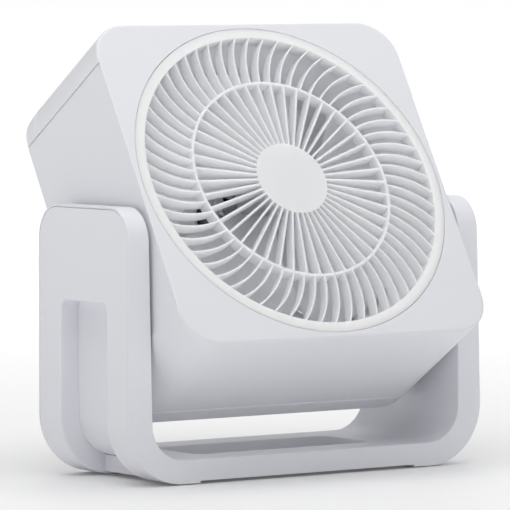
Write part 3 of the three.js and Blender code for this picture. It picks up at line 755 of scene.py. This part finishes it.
def rear_cover():
    seam = REAR_SEAM + GAP
    lip, proud, draft = 1.5, 0.35, 0.45
    stations = rounding(WALL, REAR - WALL - 1, WALL + 1, REAR - WALL, 3, False)[::-1]
    stations += rounding(WALL, seam + 0.2, WALL - 0.2, seam, 2)
    stations += rounding(lip - proud, seam, -proud, seam + lip, 5)
    stations += rounding(draft, REAR - EDGE, draft + EDGE, REAR, 7, False)
    cover = plate(HEAD_OUTLINE, stations)
    steps = []
    for _, side in SIDES:
        span = (COVER_IN - GAP, 200) if side > 0 else (-200, GAP - COVER_IN)
        steps.append(("cut", block(span, (0, 90), (-SEAM, SEAM))))
    liner = COVER_IN - GAP - 2
    for _, side in SIDES:
        span = (liner, liner + 2) if side > 0 else (-liner - 2, -liner)
        steps.append(("add", block(span, (seam, REAR - 1), (-SEAM - 1, SEAM + 1))))
    adds, holes = [], []
    for _, sx, sz in HEAD_CORNERS:
        at = {"x": sx * POST_X, "z": sz * POST_Z}
        adds.append(shifted(rod(5.6, seam, REAR - 1, steps=32), **at))
        well = turned(
            [(0, REAR_SEAM - 1), (SCREW_HOLE, REAR_SEAM - 1), (SCREW_HOLE, REAR - WELL_DEPTH),
             (SCREW_WELL, REAR - WELL_DEPTH), (SCREW_WELL, REAR - 0.4), (SCREW_WELL + 0.4, REAR),
             (SCREW_WELL + 0.4, REAR + 3), (0, REAR + 3)],
            steps=32,
        )
        holes.append(shifted(well, **at))
    inner, outer, depth = 26.5, 109.5, 8.0
    ribs = turned(
        [(inner, REAR - depth, 0.3), (outer, REAR - depth, 0.3), (outer, REAR - 1), (inner, REAR - 1)],
        steps=96,
    )
    steps.append(("add", ribs))
    soft = 0.5
    through = [(0, REAR - depth - 2)] + rounding(0, REAR - soft, -soft, REAR, 3, False)
    through += [(-soft, REAR + 3)]
    for number in range(4):
        holes.append(dial_mark(number))
    for ring in INTAKE:
        for i in range(ring["count"]):
            holes.append(plate(ccw(straight_gap(ring, i, 0.0, 3)), through))
    holes.append(shifted(rod(4.3, REAR - 6, REAR + 4, steps=32), x=KNOB_AT, z=KNOB_AT))
    holes.append(shifted(rod(6.8, REAR - 6, REAR + 4, steps=40), x=INLET_AT, z=INLET_AT))
    return combined(cover, *steps, ("add", merged(*adds)), ("cut", merged(*holes)))


# ---- Front grille ----

OUTER_RIBS = {"count": 60, "inner": 80.0, "outer": 117.0, "rib": 1.3}
INNER_RIBS = {"count": 45, "inner": 28.5, "outer": 78.0, "rib": 1.5}


def swept_gap(index, steps=10):
    """The outline of the opening between two swept ribs."""
    inner, outer, rib = OUTER_RIBS["inner"], OUTER_RIBS["outer"], OUTER_RIBS["rib"]
    left, right = (TAU * (index + k) / OUTER_RIBS["count"] for k in (0, 1))

    def turn(radius):
        along = (radius - inner) / (outer - inner)
        return -math.radians(3.1 * along + 4.5 * along * along)

    def point(radius, a):
        return (radius * math.cos(a), radius * math.sin(a))

    radii = [inner + (outer - inner) * k / steps for k in range(steps + 1)]
    one = [point(r, left + turn(r) + rib / 2 / r) for r in radii]
    two = [point(r, right + turn(r) - rib / 2 / r) for r in radii]
    ends = []
    for r in (outer, inner):
        a, b = left + turn(r) + rib / 2 / r, right + turn(r) - rib / 2 / r
        ends.append([point(r, a + (b - a) * k / 3) for k in (1, 2)])
    return ccw(one + ends[0] + two[::-1] + ends[1][::-1])


def front_grille():
    back = FRONT + GRILLE_DEPTH

    def stations(soft):
        return rounding(soft, FRONT, 0, FRONT + soft, 3) + rounding(0, back - soft, soft, back, 2, False)

    gaps = [swept_gap(i) for i in range(OUTER_RIBS["count"])]
    gaps += [ccw(straight_gap(INNER_RIBS, i, 0.5, 1)) for i in range(INNER_RIBS["count"])]
    grille = plate(circle(GRILLE_RADIUS, 180), stations(0.35), "y", gaps, stations(0.32))
    disc_back = rod(INNER_RIBS["inner"] - 2, FRONT + 2.5, back + 5, steps=64)
    return combined(grille, ("cut", disc_back))


# ---- Inside the head ----


def fan_shroud():
    mouth, throat, throat_at, rear, wall = 119.0, 108.0, -30.0, 38.0, 2.2
    cup_radius, cup_front, spoke, ear = 42.0, 12.0, 1.6, 6.5
    front, flange = SHROUD_FRONT, SHROUD_FLANGE
    duct = turned(
        [(mouth, front, 0.4), (GRILLE_RADIUS + 0.4, front, 0.4), (GRILLE_RADIUS + 0.4, flange, 0.4),
         (mouth + wall, flange, 1), (throat + wall, throat_at, 12), (throat + wall, rear, 0.4),
         (throat, rear, 0.4), (throat, throat_at, 12)],
        steps=128, corner_steps=6,
    )
    cup = turned(
        [(10, rear), (cup_radius, rear, 1.5), (cup_radius, cup_front, 0.4),
         (cup_radius - wall, cup_front, 0.4), (cup_radius - wall, rear - wall, 0.8), (10, rear - wall)],
        steps=96,
    )
    steps = [("add", cup)]
    reach = EAR_AT * math.sqrt(2)
    for _, sx, sz in HEAD_CORNERS:
        turn = Matrix.Rotation(-math.atan2(sz, sx), 4, "Y")
        arm = block((cup_radius - 1.5, throat + 1), (rear - 12, rear), (-spoke, spoke))
        lug = block((GRILLE_RADIUS - 2, reach), (front, flange), (-ear, ear))
        tip = rod(ear, front, flange)
        steps.append(("add", placed(arm, turn)))
        steps.append(("add", placed(lug, turn)))
        steps.append(("add", placed(tip, turn, Matrix.Translation((reach, 0, 0)))))
    for _, sx, sz in HEAD_CORNERS:
        hole = rod(SCREW_HOLE, front - 5, flange + 5, steps=16)
        steps.append(("cut", shifted(hole, x=sx * EAR_AT, z=sz * EAR_AT)))
    for _, side in SIDES:
        steps.append(("cut", shifted(rod(SCREW_HOLE, rear - 8, rear + 5, steps=16), x=side * BOLT_AT)))
    return combined(duct, *steps)


MOTOR_RADIUS = 38.0
MOTOR_FRONT, MOTOR_REAR = -12.0, 34.0
SKIN = 1.8  # thickness of the motor's two shields
CORE = 22.0  # the stator core's length, from 0 backwards
SLOTS = 8
SLOT_RADIUS = 27.0
BORE = 20.0
AXLE = 4.0
BEARING = 8.0


def motor_shield(end, rim):
    skin = math.copysign(SKIN, rim - end)
    inner = MOTOR_RADIUS - SKIN
    shield = turned(
        [(BEARING + GAP, end, 0.3), (15, end, 1.2), (17, end + skin * 0.35, 1.2), (MOTOR_RADIUS, end, 3),
         (MOTOR_RADIUS, rim, 0.2), (inner, rim, 0.2), (inner, end + skin, 2), (17, end + skin * 1.2, 1),
         (BEARING + 2.2, end + skin, 0.5), (BEARING + 2.2, end + 3.4 * skin, 0.3),
         (BEARING + GAP, end + 3.4 * skin, 0.3)],
        steps=96,
    )
    low, high = sorted((end, rim))
    holes = [shifted(rod(SCREW_HOLE, low - 5, high + 5, steps=20), x=side * BOLT_AT) for _, side in SIDES]
    vents, count, radius = [], 8, 25.5
    for i in range(count):
        a = TAU * (i + 0.5) / count
        slot = plate(rounded_rectangle(5.5, 1.6, 1.5, 5), [(0, low - 5), (0, high + 5)])
        vents.append(placed(slot, Matrix.Rotation(-a, 4, "Y"), Matrix.Translation((radius, 0, 0))))
    return combined(shield, ("cut", merged(*holes)), ("cut", merged(*vents)))


def slot_bar(half_width, half_height, low, high, index):
    span = (SLOT_RADIUS - half_width, SLOT_RADIUS + half_width)
    bar = block(span, (low, high), (-half_height, half_height))
    return placed(bar, Matrix.Rotation(TAU * (index + 0.5) / SLOTS, 4, "Y"))


def stator_core():
    sheet, groove = 1.07, 0.12
    sheets = int((CORE - 2 * GAP) / sheet)
    pitch = (CORE - 2 * GAP) / sheets
    profile = []
    outer = MOTOR_RADIUS - 0.5
    for i in range(sheets):
        low = GAP + i * pitch
        profile += [(outer - groove, low), (outer, low + groove), (outer, low + pitch - groove)]
    profile += [(outer - groove, CORE - GAP), (BORE, CORE - GAP), (BORE, GAP)]
    ring = turned(profile, steps=96)
    bars = [slot_bar(3, 4, -5, CORE + 5, i) for i in range(SLOTS)]
    holes = [shifted(rod(SCREW_HOLE, -5, CORE + 5, steps=20), x=side * BOLT_AT) for _, side in SIDES]
    return combined(ring, ("cut", merged(*bars)), ("cut", merged(*holes)))


def stator_windings():
    """Two bundles of end turns, with the lie of the wire on them, joined through the core."""

    def squared(value):
        return math.copysign(abs(value) ** 0.7, value)

    def bundle(low, high):
        bm = bmesh.new()
        around, across = 240, 28
        half_r, half_a = 3.9, (high - low) / 2
        rings = []
        for i in range(around):
            a = TAU * i / around
            ring = []
            for k in range(across):
                t = TAU * k / across
                ridge = 0.16 * math.sin(9 * t + 14 * a) - 0.25 * abs(math.sin(4 * a)) ** 6
                r = SLOT_RADIUS + (half_r + ridge) * squared(math.cos(t))
                h = (low + high) / 2 + (half_a - 0.25 + ridge) * squared(math.sin(t))
                ring.append(bm.verts.new((r * math.cos(a), h, r * math.sin(a))))
            rings.append(ring)
        for one, two in zip(rings, rings[1:] + rings[:1]):
            bridge(bm, one, two)
        return closed(bm)

    bars = [slot_bar(2.6, 3.6, -3, CORE + 3, i) for i in range(SLOTS)]
    return combined(bundle(-7, -0.5), ("add", bundle(CORE + 0.5, CORE + 7)), ("add", merged(*bars)))


def bearing(end):
    away = math.copysign(5.5, end)
    low, high = sorted((end, end - away))
    return turned(
        [(AXLE + GAP, low, 0.5), (BEARING, low, 0.6), (BEARING, high, 0.6), (AXLE + GAP, high, 0.5)], steps=64
    )


# ---- Rotor ----

HUB = {"radius": 24.0, "front": -46.0, "rear": -18.0}
BLADE_TIP = 104.0


def blade():
    """One blade: thin, with rounded edges and corners, and a slight hollow."""
    bm = bmesh.new()
    root = HUB["radius"] - 1.5
    outs, chords, half_thickness = 22, 26, 0.9
    middle = (HUB["front"] + HUB["rear"]) / 2 + 1
    sheets = []
    for face in (-1, 1):
        sheet = []
        for i in range(outs + 1):
            row = []
            for j in range(chords + 1):
                across = -math.cos(math.pi * j / chords)  # -1 to 1, closer together at the edges
                edge = 1 - across * across
                corner = max(0.0, (abs(across) - 0.62) / 0.38)
                reach = BLADE_TIP - root - 13 * corner**2.4
                out = math.sin(math.pi / 2 * i / outs) ** 0.9
                radius = root + reach * out
                spread_angle = math.radians(52 + 12 * out)
                a = across / 2 * spread_angle + math.radians(14 * out)
                pitched = (24 - 4 * out) * -across / 2
                hollow = 2.2 * edge * (0.4 + 0.6 * out)
                to_edge = min(1.0, math.sqrt(max(0.0, edge) * 9))
                to_tip = min(1.0, math.sqrt(max(0.0, 1 - out) * 30))
                height = middle + pitched + hollow + face * half_thickness * to_edge * to_tip
                row.append(bm.verts.new((radius * math.cos(a), height, radius * math.sin(a))))
            sheet.append(row)
        sheets.append(sheet)
    low, high = sheets
    for i in range(outs):
        for j in range(chords):
            bm.faces.new((low[i][j], low[i][j + 1], low[i + 1][j + 1], low[i + 1][j]))
            bm.faces.new((high[i][j], high[i + 1][j], high[i + 1][j + 1], high[i][j + 1]))
    for j in range(chords):
        bm.faces.new((low[0][j], high[0][j], high[0][j + 1], low[0][j + 1]))
        bm.faces.new((low[outs][j], low[outs][j + 1], high[outs][j + 1], high[outs][j]))
    for i in range(outs):
        bm.faces.new((low[i][0], low[i + 1][0], high[i + 1][0], high[i][0]))
        bm.faces.new((low[i][chords], high[i][chords], high[i + 1][chords], low[i + 1][chords]))
    return closed(bm)


def fan_blade():
    radius, front, rear = HUB["radius"], HUB["front"], HUB["rear"]
    hub = turned(
        [(AXLE + GAP, front, 0.3), (radius - 2, front, 5), (radius, rear, 0.4), (radius - 2, rear, 0.4),
         (radius - 3, front + 3, 3), (AXLE + 5, front + 2.5, 1), (AXLE + 5, rear - 3, 0.4),
         (AXLE + GAP, rear - 3, 0.3)],
        steps=96, corner_steps=6,
    )
    blades = [placed(blade(), Matrix.Rotation(TAU * i / BLADES, 4, "Y")) for i in range(BLADES)]
    inside = rod(radius - 1.8, front + 6, rear + 20, steps=64)
    swept = combined(merged(*blades), ("cut", inside))
    return combined(hub, ("add", swept))


# ---- Controls ----


def speed_knob():
    base = REAR + 0.6
    radius, height, fluted = 15.0, 13.75, 24
    body = turned(
        [(0, base + 2), (3.3, base + 2), (3.3, base), (radius, base, 0.3), (radius, base + 3.6, 0.8),
         (radius - 1.6, base + 4.8, 0.8), (radius - 2.6, base + height, 1.4), (0, base + height)],
        steps=96,
    )
    flutes = []
    for i in range(fluted):
        a = TAU * (i + 0.5) / fluted
        flute = rod(1.1, base + 5.2, base + height + 3, steps=12)
        flutes.append(placed(flute, Matrix.Rotation(-a, 4, "Y"), Matrix.Translation((radius - 1.7, 0, 0))))
    line = block((-0.6, 0.6), (base + height - 0.8, base + height + 5), (3, radius - 3.4))
    return combined(body, ("cut", merged(*flutes)), ("cut", line))


def cord_inlet():
    radius, bore = 6.5, 3.3
    back = REAR - WALL - GAP
    return turned(
        [(bore, back - 3, 0.4), (radius + 2.5, back - 3, 0.4), (radius + 2.5, back, 0.4),
         (radius, back, 0.2), (radius, REAR + 2, 0.6), (radius - 0.8, REAR + 2.6, 0.4),
         (radius - 1.5, REAR + 5, 0.8), (bore, REAR + 5, 0.8)],
        steps=64,
    )


def speed_switch():
    back = REAR - WALL - GAP
    stations = [(0.4, back - 18), (0, back - 17.6), (0, back - 0.4), (0.4, back)]
    body = plate(rounded_rectangle(13, 13, 1.5, 5), stations)
    return combined(body, ("cut", rod(3.3, back - 8, back + 5, steps=32)))


def capacitor():
    low, high = 8.0, 36.0
    stations = [(0.8, low), (0.2, low + 0.2), (0, low + 0.8)]
    stations += [(0, high - 0.8), (0.2, high - 0.2), (0.8, high)]
    return plate(rounded_rectangle(17, 11, 2, 6), stations)


def trunnion():
    inside, face, depth = 123.0, COVER_IN - GAP, 9.0
    return turned(
        [(0, inside), (PIVOT_FLANGE, inside, 0.6), (PIVOT_FLANGE, face, 0.4), (PIVOT, face),
         (PIVOT, PIVOT_END, 0.8), (SCREW_HOLE, PIVOT_END, 0.3), (SCREW_HOLE, PIVOT_END - depth),
         (0, PIVOT_END - depth)],
        "x", 64,
    )


def washer(outer, inner, low, high):
    return turned([(inner, low, 0.2), (outer, low, 0.3), (outer, high, 0.3), (inner, high, 0.2)], "x", 64)


# ---- Everything in its place ----


def build_stand():
    for name, shape in (("stand_inner_shell", stand_inner_shell), ("stand_outer_shell", stand_outer_shell)):
        show(name + "_visual", shape(), STAND_WHITE, "stand", (name,), STAND_PLACE)
    for corner, sx, sy in FOUR_CORNERS:
        name = "rubber_foot_" + corner
        at = Matrix.Translation((sx * FOOT_X, sy * FOOT_Y, 0))
        show(name + "_visual", placed(rubber_foot(), at), RUBBER, "stand", (name,), STAND_PLACE)
        name = "stand_screw_" + corner
        at = Matrix.Translation((sx * SCREW_X, sy * SCREW_Y, 0))
        fastener = placed(screw(SCREW_SEAT - GAP, SCREW_TIP, "z"), at)
        show(name + "_visual", fastener, SCREW_STEEL, "stand", (name,), STAND_PLACE)


def on_head(name, bm, material, slot, body="head", at=None):
    place = HEAD_PLACE if at is None else HEAD_PLACE @ at
    return show(name + "_visual", bm, material, body, (name,), place)


def build_casing():
    white = (HOUSING_WHITE, "housing_white")
    on_head("front_housing", front_housing(), *white)
    on_head("rear_cover", rear_cover(), *white)
    # The shroud takes the lightened copy of the housing white: painted light inside the head.
    on_head("fan_shroud", fan_shroud(), DUCT_LIGHTENED_WHITE, "housing_white")
    on_head("front_grille", front_grille(), GRILLE_WHITE, "grille_white")
    on_head("side_cover_right", side_cover(), *white)
    on_head("side_cover_left", placed(side_cover(), Matrix.Diagonal((-1, 1, 1, 1))), *white)
    steel = (SCREW_STEEL, "screw_steel")
    for corner, sx, sz in HEAD_CORNERS:
        fastener = screw(REAR - WELL_DEPTH + GAP, REAR_SEAM - 13, "y")
        at = Matrix.Translation((sx * POST_X, 0, sz * POST_Z))
        on_head("rear_cover_screw_" + corner, fastener, *steel, at=at)
        fastener = screw(SHROUD_FLANGE + GAP, SHROUD_FLANGE + GAP - 9, "y")
        at = Matrix.Translation((sx * EAR_AT, 0, sz * EAR_AT))
        on_head("shroud_screw_" + corner, fastener, *steel, at=at)
    for side, sx in SIDES:
        at = Matrix.Translation((0, 0, -HEAD_RISE))
        if sx < 0:
            at = at @ HALF_TURN
        on_head("pivot_trunnion_" + side, trunnion(), *white, at=at)
        friction = washer(PIVOT_FLANGE, PIVOT_HOLE, COVER_OUT + GAP, COVER_OUT + 2.4)
        on_head("tilt_friction_washer_" + side, friction, RUBBER, "rubber", at=at)
        keeper = washer(14, SCREW_HOLE, PIVOT_END + GAP, KEEPER_TOP)
        on_head("pivot_keeper_washer_" + side, keeper, *steel, at=at)
        on_head("pivot_screw_" + side, screw(KEEPER_TOP + GAP, PIVOT_END - 8, "x", 4.2), *steel, at=at)


def build_motor():
    on_head("motor_front_shield", motor_shield(MOTOR_FRONT, 0), MOTOR_STEEL, "motor_steel")
    on_head("motor_rear_shield", motor_shield(MOTOR_REAR, CORE), MOTOR_STEEL, "motor_steel")
    on_head("stator_core", stator_core(), LAMINATIONS, "lamination_steel")
    on_head("stator_windings", stator_windings(), COPPER, "copper_wire")
    on_head("motor_front_bearing", bearing(MOTOR_FRONT), BRONZE, "bearing_bronze")
    on_head("motor_rear_bearing", bearing(MOTOR_REAR), BRONZE, "bearing_bronze")
    for side, sx in SIDES:
        at = Matrix.Translation((sx * BOLT_AT, 0, 0))
        bolt = screw(MOTOR_FRONT - GAP, MOTOR_REAR + 6, "y")
        on_head("motor_bolt_" + side, bolt, SCREW_STEEL, "screw_steel", at=at)


def build_rotor():
    on_head("fan_blade", fan_blade(), BLADE_WHITE, "blade_plastic", "rotor")
    low, high = -49.4, MOTOR_REAR - 0.5
    shaft = turned([(0, low), (AXLE, low, 0.6), (AXLE, high, 0.5), (0, high)], steps=48)
    on_head("motor_shaft", shaft, MOTOR_STEEL, "motor_steel", "rotor")
    radius, low, high = BORE - 0.7, 1.0, CORE - 1
    core = turned([(AXLE + GAP, low), (radius, low, 0.2), (radius, high, 0.2), (AXLE + GAP, high)], steps=96)
    on_head("rotor_core", core, LAMINATIONS, "lamination_steel", "rotor")
    radius, low, high = 9.0, -51.0, HUB["front"] - GAP
    nut = turned(
        [(AXLE + GAP, low, 0.3), (radius - 1, low, 0.8), (radius, low + 1, 0.3), (radius, high, 0.2),
         (AXLE + GAP, high)],
        steps=48,
    )
    on_head("blade_nut", nut, DARK_PLASTIC, "dark_plastic", "rotor")


def build_controls():
    corner = Matrix.Translation((KNOB_AT, 0, KNOB_AT))
    on_head("speed_knob", speed_knob(), KNOB_WHITE, "knob_plastic", "knob", at=corner)
    low, high = REAR - WALL - 8, REAR + 2.3
    shaft = turned([(0, low), (3, low, 0.3), (3, high, 0.4), (0, high)], steps=32)
    on_head("speed_switch_shaft", shaft, MOTOR_STEEL, "motor_steel", "knob", at=corner)
    on_head("speed_switch", speed_switch(), DARK_PLASTIC, "dark_plastic", at=corner)
    corner = Matrix.Translation((CAPACITOR_AT, 0, -CAPACITOR_AT))
    on_head("motor_capacitor", capacitor(), DARK_PLASTIC, "dark_plastic", at=corner)
    corner = Matrix.Translation((INLET_AT, 0, INLET_AT))
    on_head("cord_inlet", cord_inlet(), KNOB_WHITE, "knob_plastic", at=corner)


build_stand()
build_casing()
build_motor()
build_rotor()
build_controls()

# ---- Studio ----

# How much the floor gives off, at a distance from its middle as a share of the reach in metres.
FLOOR_GLOW_REACH = 4.0
FLOOR_GLOW = ((0.03, 0.03), (0.12, 0.12), (0.4, 0.38), (1.0, 0.9))
# How bright the world is at the sine of an elevation.
WORLD_GLOW = ((0.0, 1.0), (0.05, 0.9), (0.22, 0.26), (1.0, 0.26))


def grey_ramp(tree, value, levels):
    """A grey that follows a value through (position, brightness) levels."""
    ramp = node(tree, "ShaderNodeValToRGB")
    stops = ramp.color_ramp.elements
    for stop, (position, glow) in zip(stops, (levels[0], levels[-1])):
        stop.position, stop.color = position, (glow, glow, glow, 1)
    for position, glow in levels[1:-1]:
        stops.new(position).color = (glow, glow, glow, 1)
    tree.links.new(value, ramp.inputs["Fac"])
    return ramp.outputs["Color"]


def build_floor():
    """A pale floor that gets brighter away from the object, so that it meets the world in white."""
    bm = bmesh.new()
    bmesh.ops.create_grid(bm, x_segments=1, y_segments=1, size=12)
    floor = loose_object(bm, "studio_floor")
    floor.location.z = -0.0002
    material = shaded("pale floor", (0.93, 0.93, 0.93), 0.55, tint=0.004, grain=(300, 0.01))
    tree = material.node_tree
    shader = tree.nodes["Principled BSDF"]
    coords = tree.nodes.new("ShaderNodeTexCoord").outputs["Object"]
    distance = node(tree, "ShaderNodeVectorMath", operation="LENGTH")
    tree.links.new(coords, distance.inputs[0])
    scaled = node(tree, "ShaderNodeMath", operation="MULTIPLY")
    scaled.inputs[1].default_value = 1 / FLOOR_GLOW_REACH
    tree.links.new(distance.outputs["Value"], scaled.inputs[0])
    glow = grey_ramp(tree, scaled.outputs[0], FLOOR_GLOW)
    tree.links.new(glow, shader.inputs["Emission Color"])
    shader.inputs["Emission Strength"].default_value = 1.0
    floor.data.materials.append(material)


def softbox(name, at, aim, width, height, power):
    light = bpy.data.lights.new(name, "AREA")
    light.shape = "RECTANGLE"
    light.size = width
    light.size_y = height
    light.energy = power
    obj = bpy.data.objects.new(name, light)
    obj.location = at
    obj.rotation_euler = (Vector(aim) - Vector(at)).to_track_quat("-Z", "Y").to_euler()
    bpy.context.scene.collection.objects.link(obj)


def build_studio():
    build_floor()
    world = bpy.data.worlds.new("studio")
    world.use_nodes = True
    tree = world.node_tree
    background = tree.nodes["Background"]
    ahead = node(tree, "ShaderNodeTexCoord").outputs["Generated"]
    split = node(tree, "ShaderNodeSeparateXYZ")
    tree.links.new(ahead, split.inputs[0])
    glow = grey_ramp(tree, split.outputs["Z"], WORLD_GLOW)
    tree.links.new(glow, background.inputs["Color"])
    scene = bpy.context.scene
    scene.world = world
    scene.view_settings.view_transform = "Standard"
    softbox("overhead", (0.1, -0.2, 2.4), (0, 0, 0.1), 3.0, 3.0, 40)
    softbox("upper left", (-1.2, -0.8, 2.0), (0, 0, 0.1), 1.6, 1.6, 10.5)
    softbox("behind", (1.2, 1.8, 1.2), (0, 0, 0.15), 1.4, 1.2, 5)


def build_camera():
    at, lens = (-1.749362, -2.742982, 0.328768), 316.76
    yaw, pitch, roll = 0.568338, -0.053402, -0.0100896
    camera = bpy.data.cameras.new("camera")
    camera.lens = lens
    camera.sensor_width = 36
    camera.sensor_fit = "HORIZONTAL"
    camera.clip_start = 0.1
    camera.clip_end = 50
    obj = bpy.data.objects.new("camera", camera)
    ahead = Vector((math.sin(yaw) * math.cos(pitch), math.cos(yaw) * math.cos(pitch), math.sin(pitch)))
    right = Vector((math.cos(yaw), -math.sin(yaw), 0))
    up = right.cross(ahead)
    across = right * math.cos(roll) + up * math.sin(roll)
    upright = up * math.cos(roll) - right * math.sin(roll)
    turn = Matrix((across, upright, -ahead)).transposed()
    obj.matrix_world = Matrix.Translation(at) @ turn.to_4x4()
    bpy.context.scene.collection.objects.link(obj)
    bpy.context.scene.camera = obj


build_studio()
build_camera()
